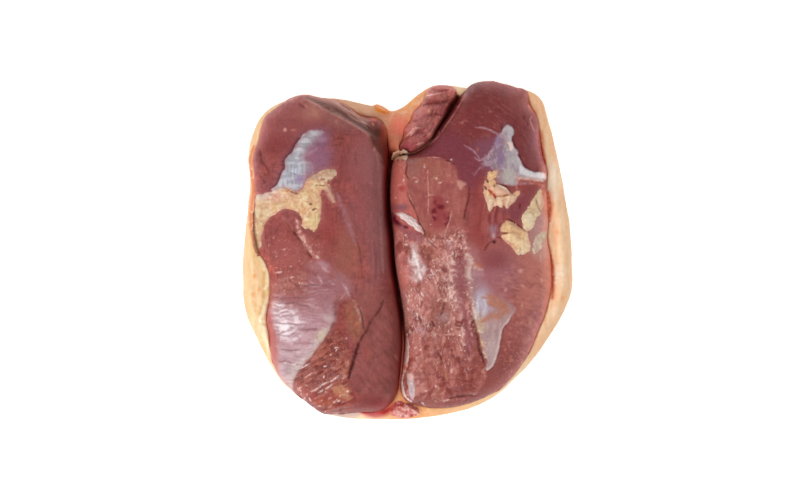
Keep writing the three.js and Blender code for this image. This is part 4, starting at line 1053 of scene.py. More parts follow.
def paint_triangle(s):
    x, y = s.x, s.y
    film = region(x, y, TRIANGLE, 2.6, 1.6, 161)
    crisp = region(x, y, TRIANGLE, 0.4, 0.5, 162)
    distance, _ = path_distance(x, y, TRIANGLE_EDGE)
    low = smooth(-24, -40, y)
    upright = noise(x / 1.0, y / 5 + 0.4 * noise(x, y, 4, 158), 1, 159)
    across = noise(x / 3, (y + 0.3 * x) / 1.0, 1, 157)
    s.blend(film * (1 - low), (166, 128, 136), 0.6, wet=0.5)
    s.blend(crisp * low, (182, 152, 150), 0.85, wet=0.6)
    s.blend(film * smooth(0.05, 0.5, cloud(x, y, 5, 3, 163)), (162, 126, 130), 0.55)
    s.blend(crisp * low * smooth(0.1, 0.6, upright), (202, 180, 178), 0.35)
    s.blend(crisp * low * smooth(-0.1, -0.6, upright), (158, 126, 126), 0.35)
    s.blend(crisp * low * smooth(0.1, 0.5, cloud(x, y, 4, 2, 152)), (166, 136, 138), 0.5)
    s.dab((40, -27), (4.4, 7), (184, 176, 190), 0.8)
    s.blend(oval(x, y, (39.6, -31), (4, 6)) * smooth(-0.5, 0.3, upright), (204, 202, 214), 0.8)
    s.dab((46, -54), (3, 8), (196, 176, 172), 0.5)
    s.dab((39.6, -40), (3.4, 4), (194, 168, 136), 0.7)
    s.dab((44, -38), (3, 3), (176, 148, 160), 0.6)
    arms = [[(40.8, -25.6), (44, -24.8), (48, -26.6), (52, -29.6), (54.4, -32)],
            [(54, -32), (51, -34.4), (46, -36), (42, -37.4), (39.6, -38.6)],
            [(43, -28), (46, -29), (49.6, -31.4)], [(50, -29), (52.6, -31)]]
    for path in arms:
        band = line(x, y, path, 2.0)
        s.blend(band * smooth(-1.1, -0.2, across), (178, 114, 90), 0.8)
        s.blend(band * smooth(0.2, 0.7, across), (196, 132, 104), 0.4)
    s.dab((44.6, -31.6), (2.6, 1.4), (176, 156, 176), 0.7)
    s.blend(crisp * np.exp(-(distance / 0.9)**2) * smooth(-32, -38, y), (226, 206, 200), 0.75, rise=0.15)
    s.blend(crisp * low, rise=0.3)
    # Painted shadow just outside the film's raised edge.
    outside = np.exp(-(distance / 1.1)**2) * (1 - crisp) * smooth(-34, -40, y)
    s.blend(outside, (112, 54, 52), 0.5, rise=-0.3)
    bent = x + 1.4 * cloud(x, y, 6, 2, 155)
    broken = smooth(-0.3, 0.2, cloud(x, y, 2.4, 2, 153))
    border = line(bent, y, TRIANGLE_LEFT, 1.2)
    s.blend(line(bent + 2.4, y, TRIANGLE_LEFT[8:], 1.0), (108, 48, 46), 0.6, rise=-0.6)
    s.blend(border * broken, (218, 194, 180), 0.75, rise=0.4, wet=0.9)
    s.blend(border * (1 - broken), (188, 140, 122), 0.6)
    s.blend(line(bent, y, TRIANGLE_LEFT[9:], 1.0) * broken, (206, 170, 118), 0.7)
    # Painted highlights: wet glints along the triangle's left border.
    beads = line(x, y, TRIANGLE_LEFT, 3.2) * flecks(x, y, 0.8, 1.2, 70, 0.2, 156)
    s.blend(beads, (236, 212, 202), 0.75, rise=0.3, wet=1)
    s.dab((38.2, -8), (2.6, 1.6), (184, 108, 82), 0.8, -10)
    s.stroke([(33, -4), (35, -7), (38, -10), (41, -10.4)], 1.2, (210, 182, 176), 0.7)
    s.stroke([(34, -13), (38, -12.4), (42, -13.4)], 1.4, (178, 140, 150), 0.6)


# Folds of the flap, painted lighter on their crests as highlight, and the hollows between them, painted
# darker as shade: path, width and rise of each.
FOLDS = [
    ([(8.6, 80.6), (13, 82.8), (18, 83.2), (23, 84.4)], 1.7, 1.1),
    ([(4.4, 72.6), (8.4, 76), (13.6, 77.4), (18.6, 77.6)], 1.9, 1.0),
    ([(-0.6, 63), (4, 67), (9, 70), (15.6, 70.8)], 2.0, 0.8),
    ([(-2.6, 57.6), (3.4, 59.6), (9, 62.6)], 1.8, 0.8),
]
HOLLOWS = [
    ([(8.4, 78.6), (13, 80), (18.6, 80.4), (23, 81.6)], 0.9, -1.0),
    ([(3.6, 69.6), (9, 73), (14.6, 74), (19, 73.4)], 0.9, -0.9),
    ([(-1, 60.6), (4, 63.4), (9.6, 66.4)], 0.8, -0.8),
    ([(12.6, 88), (17, 86.6), (22.6, 87)], 0.8, -0.8),
]


def paint_flap(s):
    x, y = s.x, s.y
    flesh_grain(s, 171, 1.2)
    fibres = streaks(x, y, (-60, 110), 1.0, 4, 161)
    s.rise += 0.7 * cloud(x, y, 4, 2, 163) + 0.15 * fibres
    s.blend(smooth(0.1, 0.6, fibres), (186, 120, 112), 0.45)
    s.blend(smooth(-0.1, -0.7, fibres), (124, 62, 60), 0.5)
    s.blend(smooth(0.1, 0.6, cloud(x, y, 5, 2, 164)), (138, 66, 66), 0.5)
    # Painted light and shade: fold crests lighter, the hollows between them darker.
    for path, width, rise in FOLDS:
        s.stroke(path, width, (176, 108, 102), 0.5, rise=rise)
    for path, width, rise in HOLLOWS:
        s.stroke(path, width, (104, 46, 46), 0.65, rise=rise)
    s.dab((6, 73), (3.4, 4.4), (176, 112, 110), 0.7, 50)
    s.dab((0.5, 56.6), (4, 3), (146, 66, 74), 0.7)
    s.dab((15, 88.6), (5, 1.6), (180, 100, 88), 0.7)
    s.dab((10.6, 81.6), (1.8, 1.4), (106, 44, 42), 0.6)
    s.stroke([(11.8, 77), (11.4, 74)], 0.9, (214, 152, 130), 0.8, rise=0.2)
    # Painted highlights: pale wet streaks on the flap.
    for path in ([(-0.5, 62), (2.6, 65.2), (4.6, 67)], [(1.4, 62), (4, 65)], [(2.8, 66.2), (7, 66.6)],
                 [(12.4, 61.4), (15, 63.2)], [(5, 57.4), (9, 58.6)], [(9.5, 84), (14, 84.6), (18, 85.2)]):
        s.stroke(path, 0.5, (222, 170, 156), 0.75, rise=0.3, wet=1)
    left_edge = smooth(0, 1, (x - 2 - 0.42 * (y - 68)) / -7) * smooth(56, 60, y)
    s.blend(left_edge, (196, 116, 98), 0.6)


# ---- meshes ------------------------------------------------------------------------------

SHEEN = 0.013  # light that a moist surface sends back whatever its colour


def albedo(colour):
    """The surface colour that shows as the given one under the studio light."""
    c = np.clip(colour / 255, 0, 1)
    shown = np.where(c <= 0.04045, c / 12.92, ((c + 0.055) / 1.055)**2.4)
    return np.clip(shown - SHEEN, 0.004, 0.95)


def make_object(name, points, faces, layers):
    mesh = bpy.data.meshes.new(name)
    mesh.from_pydata((points * MM).tolist(), [], faces)
    mesh.polygons.foreach_set("use_smooth", np.ones(len(faces), bool))
    tint = mesh.color_attributes.new(name="tint", type="FLOAT_COLOR", domain="POINT")
    tint.data.foreach_set("color", np.column_stack([albedo(layers.colour), np.ones(len(points))]).ravel())
    for label, values in (("wet", layers.wet), ("grain", layers.grain)):
        channel = mesh.attributes.new(name=label, type="FLOAT", domain="POINT")
        channel.data.foreach_set("value", np.clip(values, 0, 1).astype(np.float32))
    mesh.update()
    piece = bpy.data.objects.new(name, mesh)
    bpy.context.scene.collection.objects.link(piece)
    return piece


def nearest_on_spine(points, spine):
    start, end = np.array(spine[0], float), np.array(spine[1], float)
    along = ((points - start) @ (end - start)) / ((end - start) @ (end - start))
    return start + np.clip(along, 0, 1)[:, None] * (end - start)


def lace(ring, spine):
    """Faces across a long narrow ring, laced from side to side along its spine."""
    start, end = np.array(spine[0], float), np.array(spine[1], float)
    along = (ring - start) @ (start - end)
    count = len(ring)
    right = int(along.argmax())
    left = (right - 1) % count
    faces = []
    while len(faces) < count - 2:
        next_right, next_left = (right + 1) % count, (left - 1) % count
        if along[next_right] > along[next_left]:
            faces.append((left, right, next_right))
            right = next_right
        else:
            faces.append((left, right, next_left))
            left = next_left
    return faces


def ring_faces(rings, count, spine, first, last):
    """Faces of a closed surface of rings that run clockwise, bottom first."""
    i = np.arange(count)
    after = (i + 1) % count
    quads = []
    for ring in range(rings - 1):
        low, high = ring * count, (ring + 1) * count
        quads += np.column_stack([low + i, high + i, high + after, low + after]).tolist()
    quads += lace(first, spine)
    base = (rings - 1) * count
    quads += [(base + a, base + c, base + b) for a, b, c in lace(last, spine)]
    return quads


class Muscle:
    """A muscle's form, and what is painted on it."""

    def __init__(self, outline, spine, depth, reach, wall, swells, paint, colour):
        self.outline, self.spine, self.depth, self.reach = outline, spine, depth, reach
        self.wall, self.swells, self.paint, self.colour = wall, swells, paint, colour

    def surface(self, x, y):
        """Height and layers at the given places."""
        soft, plain, steepness = inset(x, y, self.outline)
        inward = np.clip(soft / self.reach, 0, 1)
        shoulder = np.sqrt(1 - (1 - inward)**2)
        relief = np.zeros(x.shape)
        for mx, my, rx, ry, rise in self.swells:
            relief += rise * np.exp(-((x - mx) / rx)**2 - ((y - my) / ry)**2)
        layers = Layers(x, y, self.colour)
        self.paint(layers)
        calm = smooth(0.2, 3, plain)
        # Painted light: where a muscle slopes gently down to its edge, its colour is brightened towards the
        # edge against the shade of the rounded shoulder. A paler red lip is painted at the foot, partly the
        # cut edge's own colour and partly painted light.
        gentle = smooth(2.4, 1.8, steepness)
        gentle *= smooth(-84, -66, y)
        layers.shade(1 + 0.17 * gentle * smooth(7, 0, plain))
        layers.blend(gentle * smooth(1.0, 0.2, plain), (210, 122, 100), 0.6)
        # Painted shade: steep walls, as along the cleft, are painted a dark shaded red towards their foot.
        # The foot itself is painted a brighter red against the deep shade there.
        steep = smooth(2, 3, steepness)
        wall = self.wall * (0.55 + 0.45 * smooth(-40, -5, y))
        layers.blend(steep * smooth(wall, 0.35 * wall, plain), SHADED_WALL_RED, 1.0, wet=0, grain=0)
        layers.blend(steep * smooth(0.4 * wall, 0, plain), CLEFT_FOOT_PAINTED_LIGHT)
        # Painted shade: dark red on the walls that face each other across the fissure between the flap and
        # the right muscle.
        fissure = steep * smooth(-2, 4, x) * smooth(50, 54, y)
        layers.blend(fissure * smooth(0.8, 0.2, plain), (104, 34, 28), 0.9, wet=0)
        # Painted shade: steep walls darkened further in the middle and upper stretch of the cleft.
        dim = smooth(-30, -10, y) * smooth(56, 50, y) * steep
        layers.blend(dim * smooth(0.5 * wall, 0, plain), (104, 26, 22), 0.8)
        # Painted light: steep walls low in the cleft are painted lighter against the shade there.
        shallow = steep * smooth(-36, -52, y)
        layers.blend(shallow * smooth(1.3 * wall, 0, plain), (196, 104, 92), 0.75)
        height = MUSCLE_FLOOR + EDGE_HEIGHT + shoulder * (self.depth + relief) + calm * layers.rise
        return height, layers

    def build(self, name, count, rings):
        edge = spline(self.outline, count)[:, :2]
        edge = edge + 0.45 * np.column_stack([cloud(*edge.T, 5, 3, 5), cloud(*edge.T, 5, 3, 9)])
        core = nearest_on_spine(edge, self.spine)
        under = [CLOSING, 0.6, 0.25, 0]
        over = CLOSING * (np.arange(rings + 1) / rings)**1.3
        plans = [edge + s * (core - edge) for s in (*under, *over)]
        flat = np.vstack(plans)
        height, layers = self.surface(flat[:, 0], flat[:, 1])
        floor = len(under) * count
        height[:floor] = MUSCLE_FLOOR
        height[floor:floor + count] = MUSCLE_FLOOR + EDGE_HEIGHT
        points = np.column_stack([flat, height])
        faces = ring_faces(len(plans), count, self.spine, plans[0], plans[-1])
        return make_object(name, points, faces, layers)


left = Muscle(LEFT_OUTLINE, LEFT_SPINE, 22, 38, 3.6, LEFT_SWELLS, paint_left, MEAT)
right = Muscle(RIGHT_OUTLINE, RIGHT_SPINE, 22.5, 38, 0.8, RIGHT_SWELLS, paint_right, (146, 76, 74))
flap = Muscle(FLAP_OUTLINE, FLAP_SPINE, 13, 5.5, 1.5, [], paint_flap, (164, 94, 88))

# ---- fat, sinew and loose tissue: patches that lie on a surface --------------------------


def build_patch(name, box, step, ground, thickness):
    """A patch on the ground given, wherever its thickness is more than about nothing."""
    (x0, y0), (x1, y1) = box
    columns, rows = int((x1 - x0) / step) + 1, int((y1 - y0) / step) + 1
    x, y = np.meshgrid(x0 + step * np.arange(columns), y0 + step * np.arange(rows))
    x, y = x.ravel(), y.ravel()
    base = ground(x, y)
    rise, layers = thickness(x, y)
    keep = (rise > -0.5).reshape(rows, columns)
    cell = keep[:-1, :-1] & keep[1:, :-1] & keep[:-1, 1:] & keep[1:, 1:]
    cell = drop_pinches(cell)
    r, c = np.nonzero(cell)
    corner = r * columns + c
    top = np.column_stack([corner, corner + 1, corner + columns + 1, corner + columns])
    used, top = np.unique(top, return_inverse=True)
    top = top.reshape(-1, 4)
    count = len(used)
    edges = np.vstack([top[:, [k, (k + 1) % 4]] for k in range(4)])
    taken = {(a, b) for a, b in edges.tolist()}
    rim = [(a, b) for a, b in taken if (b, a) not in taken]
    sides = [(b, a, a + count, b + count) for a, b in sorted(rim)]
    faces = top.tolist() + (top[:, ::-1] + count).tolist() + sides
    upper = np.column_stack([x, y, base + rise])[used]
    lower = np.column_stack([x, y, base - PATCH_ROOT])[used]
    two = np.concatenate([used, used])
    return make_object(name, np.vstack([upper, lower]), faces, layers.at(two))


def drop_pinches(cell):
    """Leaves out cells that touch the rest only at a corner."""
    cell = np.pad(cell, 1)
    while True:
        a, b, c, d = cell[:-1, :-1], cell[:-1, 1:], cell[1:, :-1], cell[1:, 1:]
        falling, rising = a & d & ~b & ~c, b & c & ~a & ~d
        if not (falling | rising).any():
            return cell[1:-1, 1:-1]
        cell[:-1, :-1][falling] = False
        cell[:-1, 1:][rising] = False


def fat_layer(outline, height, seed, detail, ragged):
    """Soft lumpy fat inside an outline: its thickness and its layers."""
    def layer(x, y):
        depth = depth_inside(x, y, outline, 8 * len(outline)) + ragged * cloud(x, y, 3.2, 3, seed)
        lumps = cloud(x, y, 5.5, 2, seed + 5)
        small = cloud(x, y, 2.4, 2, seed + 7)
        rise = height * smooth(-0.6, 2.6, depth) - 0.15 + np.clip(depth, -1, 0)
        rise = rise + smooth(0, 2, depth) * (1.1 * lumps + 0.8 * small) * height / 2
        s = Layers(x, y, FAT_CREAM, 0.2)
        s.blend(smooth(0.0, 0.7, lumps), (240, 206, 162), 0.6)
        s.blend(smooth(-0.1, -0.7, lumps), (222, 172, 136), 0.6)
        s.blend(smooth(0.1, 0.7, small), (244, 220, 188), 0.5)
        s.blend(smooth(-0.1, -0.7, small), (214, 160, 128), 0.45)
        folds = web(x, y, 5, 0.12, seed + 9) * smooth(0.5, 2, depth)
        s.blend(folds, (208, 154, 124), 0.45, rise=-0.35)
        crumbs = cloud(x, y, 1.2, 2, seed + 8)
        s.blend(smooth(0.0, 0.6, crumbs), (246, 224, 190), 0.35, rise=0.14 * height)
        s.blend(smooth(0.0, -0.6, crumbs), (208, 162, 128), 0.35, rise=-0.1 * height)
        s.blend(smooth(2.4, 0.4, depth + 0.5 * small), (216, 158, 134), 0.55)
        s.blend(smooth(0.7, -0.3, depth), (186, 112, 98), 0.6)
        detail(s)
        return rise + s.rise, s
    return layer


LEFT_FAT = [
    (-82.5, 29), (-78, 30.5), (-72, 32.5), (-67, 34.5), (-61.5, 32.5), (-57, 33), (-54.6, 38),
    (-50, 40.8), (-45.4, 43.6), (-41, 44.6), (-38.2, 43), (-39.4, 40), (-42, 37.4), (-41, 34),
    (-39.4, 30), (-38.6, 26), (-40.8, 25.4), (-43.2, 29.6), (-45.4, 33), (-47, 31), (-46.5, 23),
    (-47.5, 16), (-50, 10.8), (-54, 12), (-57, 13), (-57.5, 17), (-60, 21), (-66, 22.5),
    (-72, 19.5), (-76, 16), (-78, 11.5), (-79.3, 6), (-80.3, 0), (-81, -3), (-83.5, 2), (-84, 14),
]
UPPER_FAT = [
    (42.8, 40.6), (43.6, 42.6), (45.4, 42.8), (48.2, 43.2), (48.6, 40), (48, 36.4), (50.6, 35.4),
    (53.4, 33.6),
    (55.2, 31.2), (56.8, 30.6), (58.6, 32), (60.6, 31.8), (60.8, 30), (58.9, 28.4), (57.6, 26),
    (55.6, 24.4), (54, 22.6), (52, 24), (50.4, 23), (48.4, 24.6), (46.4, 23.4), (44.4, 20.8),
    (43, 24.8), (41.6, 28.2), (41, 31.8), (41, 35), (42, 38),
]
RIM_FAT = [
    (72.2, 33.6), (73.8, 30.8), (74, 26.9), (73.2, 21.4), (71.8, 19.4), (69.4, 17), (68.4, 13.6),
    (65.8, 10.8), (62.8, 12), (62.2, 15), (62, 18.6), (63.8, 21.2), (65.2, 23.6), (67.6, 27.6), (70, 31),
]
MIDDLE_FAT = [
    (54.1, 16), (58.5, 14.3), (61.9, 12.3), (64.6, 10.6), (65.6, 7.3), (66.2, 1.4), (63.4, -2),
    (59.5, -2), (55.6, 2.2), (52, 5.6), (50.6, 8.3), (50.2, 12.2), (51.8, 14.9),
]
EDGE_FAT = [(75.6, 10.6), (72.4, 10), (69.6, 7.6), (67.6, 3.6), (66.8, -1), (69, -2.4), (72, -0.6),
            (74.6, 3.4), (75.8, 7)]


def left_fat_detail(s):
    x, y = s.x, s.y
    s.stroke([(-82.5, 28.6), (-80, 29.4), (-76, 30), (-72, 31.8), (-68, 34)], 2.6, (234, 208, 198),
             0.9, wet=0.4, rise=0.5)
    s.dab((-71, 28.4), (6, 2.6), (222, 166, 146), 0.75, 20)
    s.dab((-63, 28.6), (5, 3), (226, 178, 148), 0.6)
    s.dab((-68, 25), (6, 3), (224, 180, 140), 0.5)
    s.blend(smooth(0.15, 0.5, cloud(x, y, 3, 3, 404)) * smooth(20, 26, y), (214, 154, 132), 0.5, rise=-0.2)
    s.blend(smooth(0.15, 0.5, cloud(x, y, 2.4, 2, 402)), (246, 226, 190), 0.5, rise=0.25)
    s.dab((-64.5, 32), (1.8, 1.2), (232, 152, 110), 0.6)
    s.dab((-56.3, 21.5), (1.6, 2), (232, 168, 112), 0.5)
    s.dab((-50, 15), (3, 5), (226, 204, 146), 0.6)
    s.blend(smooth(36.5, 39.5, y) * smooth(-56, -52, x), (198, 160, 134), 0.85)
    s.blend(smooth(36, 39, y) * smooth(0.0, 0.5, cloud(x, y, 2.6, 2, 403)), (226, 200, 174), 0.7)
    s.blend(smooth(-45.5, -43.5, x) * smooth(36, 33, y), (206, 154, 136), 0.8, rise=-0.4)
    s.stroke([(-63, 31.8), (-61, 31.2), (-59.3, 30.7)], 0.55, (112, 56, 44), 0.9, rise=-0.8)
    s.stroke([(-53.2, 25.2), (-51.4, 25)], 0.5, (92, 66, 48), 0.9, rise=-0.8)
    s.dab((-52.3, 26.8), (1, 0.6), (232, 166, 140), 0.7)
    s.stroke([(-51.6, 21.7), (-50.2, 22.4), (-49, 22.6)], 0.5, (128, 78, 52), 0.9, rise=-0.8)
    s.stroke([(-50, 35), (-47, 35.3), (-44, 35)], 0.5, (140, 92, 70), 0.7, rise=-0.4)
    s.dab((-42.5, 37.5), (0.8, 0.7), (116, 70, 58), 0.7)
    s.dab((-46, 35.9), (0.8, 0.5), (248, 232, 216), 0.8)
    s.shade(0.95 - 0.05 * smooth(-74, -80, x))


def upper_fat_detail(s):
    x, y = s.x, s.y
    s.blend(smooth(31, 27, y), (216, 178, 152), 0.7)
    fringe = noise((x + 0.8 * noise(x, y, 3, 417)) / 1.1, y / 4, 1, 416)
    s.blend(smooth(0.0, 0.6, fringe) * smooth(31, 27, y), (238, 208, 180), 0.6, rise=0.2)
    s.blend(smooth(0.0, -0.6, fringe) * smooth(30, 26, y), (198, 138, 120), 0.45, rise=-0.1)
    s.blend(oval(x, y, (46, 39.6), (3.4, 4)), (224, 180, 134), 0.7, rise=-0.4)
    s.dab((43.6, 34), (1.5, 2.4), (206, 132, 120), 0.7, 30, rise=-0.5)
    s.fill([(46, 34.4), (48.2, 35.6), (53.1, 33.4), (55.2, 30.8), (50.2, 29.8), (47.6, 29.8)], 0.5,
           (218, 174, 150), 0.85, rise=0.9)
    s.stroke([(48.4, 35.7), (51, 34.7), (53.4, 33.2), (55.2, 30.9)], 0.6, (253, 240, 222), 0.95, rise=0.3)
    s.stroke([(47.4, 29.2), (50.4, 29.2), (54.8, 30.3)], 0.55, (150, 86, 72), 0.8, rise=-0.7)
    s.stroke([(43.6, 32.8), (45.4, 31.2), (47, 29.8), (47.5, 28.2)], 0.75, (188, 62, 54), 0.9, rise=-0.8)
    for path in ([(42, 39), (42.9, 37.9), (43.6, 36.5)], [(41.2, 34.8), (42, 33.8), (42.7, 32.8)],
                 [(46.2, 35), (47.2, 34.7)]):
        s.stroke(path, 0.55, (44, 20, 18), 0.95, rise=-1)


def rim_fat_detail(s):
    x, y = s.x, s.y
    s.blend(np.ones(x.shape), (216, 190, 152), 0.75)
    s.dab((66, 16), (4.6, 6), (230, 210, 176), 0.85, 20, rise=0.5)
    s.blend(smooth(0.1, 0.5, cloud(x, y, 2.2, 2, 425)), (198, 162, 130), 0.5, rise=-0.2)
    s.blend(smooth(0.0, 0.4, cloud(x, y, 3, 2, 424)), (240, 222, 190), 0.5, rise=0.3)
    s.dab((73.6, 28), (1.5, 6), (220, 150, 130), 0.8)
    s.stroke([(69.4, 28), (70.4, 24.4), (72.4, 20.6)], 0.7, (178, 132, 110), 0.75, rise=-0.6)
    s.stroke([(64, 21), (66.6, 20.6), (69, 18)], 0.6, (196, 156, 126), 0.6, rise=-0.4)
    # Painted highlights: small wet glints.
    s.blend(smooth(17, 13, y) * flecks(x, y, 0.7, 0.9, 20, 0.2, 426), (250, 240, 222), 0.7, rise=0.3, wet=1)


def middle_fat_detail(s):
    x, y = s.x, s.y
    s.dab((55, 12), (4, 3.4), (228, 184, 138), 0.7, rise=0.4)
    s.blend(smooth(6, 0, y) * smooth(56, 61, x), (226, 202, 166), 0.75)
    s.stroke([(56, 14.6), (59.6, 13), (63.8, 10.6)], 1.5, (192, 148, 126), 0.75, rise=-0.4)
    s.stroke([(51.6, 7.6), (55.4, 7.6), (59.4, 5), (63, 2), (64.8, -0.4)], 1.6, (242, 208, 166),
             0.75, rise=0.8)
    s.stroke([(50.2, 9.6), (52.2, 9.3), (54.4, 9.6)], 0.6, (116, 60, 46), 0.9, rise=-0.9)
    s.stroke([(54.4, 9.8), (57.6, 9.6), (61, 8.4)], 0.7, (206, 152, 116), 0.7, rise=-0.6)
    s.stroke([(53.6, 5), (57.4, 2.6), (60.6, -0.6)], 0.7, (208, 158, 122), 0.7, rise=-0.6)
    s.stroke([(51.4, 6), (54, 3.4), (57.4, 0.2)], 0.9, (206, 132, 116), 0.6)
    # Painted highlights: small wet glints.
    s.blend(smooth(5, 0, y) * flecks(x, y, 0.7, 0.9, 20, 0.22, 436), (250, 240, 222), 0.7, rise=0.3, wet=1)


def edge_fat_detail(s):
    x, y = s.x, s.y
    s.blend(np.ones(x.shape), (208, 184, 162), 0.85)
    s.blend(smooth(0.0, 0.6, noise((x + 0.6 * y) / 1.1, y / 5, 1, 445)), (186, 142, 138), 0.5)
    s.blend(smooth(0, 0.6, cloud(x, y, 2, 2, 444)), (230, 210, 186), 0.6)


def curl_detail(s):
    s.blend(np.ones(s.x.shape), (214, 172, 146), 0.7)
    s.blend(smooth(-3.6, -1.6, s.x), (234, 214, 194), 0.7)
    s.dab((-2.2, 52.2), (0.9, 0.6), (92, 48, 40), 0.9, rise=-0.8)
    s.stroke([(-7.4, 51), (-5, 52.4), (-3.4, 51.2)], 0.5, (150, 100, 84), 0.8, rise=-0.5)
    s.stroke([(-7, 49.2), (-4, 48.8), (-1, 48.6)], 0.8, (132, 50, 44), 0.8)


CURL = [(-8.5, 50), (-7, 53.5), (-3, 54.5), (0.5, 53), (0, 49.5), (-4, 48.5)]
CARTILAGE = [(-0.6, -67), (1.8, -65.8), (3.7, -67.8), (4.2, -73), (4.3, -78), (3.2, -81),
             (1.4, -80), (0, -74)]
TENDON_PATH = [(-6, 20), (-3, 18.8), (1, 16.5), (4.5, 13.5), (8.5, 9.5)]
WHITE_STRIP = [(-0.4, -45), (0, -52), (-0.6, -59), (-1.8, -65), (-2.9, -70), (-2.9, -75),
               (-1.2, -79.6), (1.8, -82)]

# ---- skin --------------------------------------------------------------------------------

FAT_FOLD = [(-79, -6.5), (-78, -11), (-78, -19), (-78, -25.5), (-79.5, -31.5), (-81.5, -36.5)]
FAT_ROW = [(-77.5, -4), (-75.5, -13.5), (-76, -21.5), (-76.5, -28.5), (-79, -36), (-78, -43), (-76, -51.5)]
RED_EDGE = [(-83.6, 57), (-85.8, 50.5), (-84.8, 41), (-84, 33), (-84.8, 25),
            (-85.4, 17), (-84.6, 9), (-83, 1)]
RED_STREAK = [(-26.5, -87), (-21.5, -88.5), (-16, -89), (-9.5, -86.5), (-6.5, -83.5)]
PALE_MEMBRANE = [(-44, -87.5), (-36.5, -88), (-30, -87), (-25, -88.5), (-30, -91.5), (-38, -91.5)]
CREVICES = [
    [(72, 65.5), (72.5, 58), (74, 51), (75.4, 47)],
    [(76.5, 32.5), (77.5, 24), (77.5, 15.5)],
    [(78, -2.5), (79, -10.5), (79, -26.5)],
]
CLEFT = [(-10.5, 50), (-10.5, 30), (-9, 8), (-7, -10), (-4.5, -35), (-2.5, -60), (-2, -70)]
NOTCH_FLUSH = (-5, 67)

FISSURE = [
    (12.6, 61.6), (15, 65), (18.6, 70.6), (22.4, 77), (25, 83), (28.6, 83.6), (25, 76.5),
    (20.5, 69.6), (16, 63.2),
]
ORANGE_BLOB = [(-18, 78), (-16.6, 79.6), (-14, 79.2), (-12.6, 77.8), (-9.6, 76.6), (-11, 75.4), (-15.4, 76)]


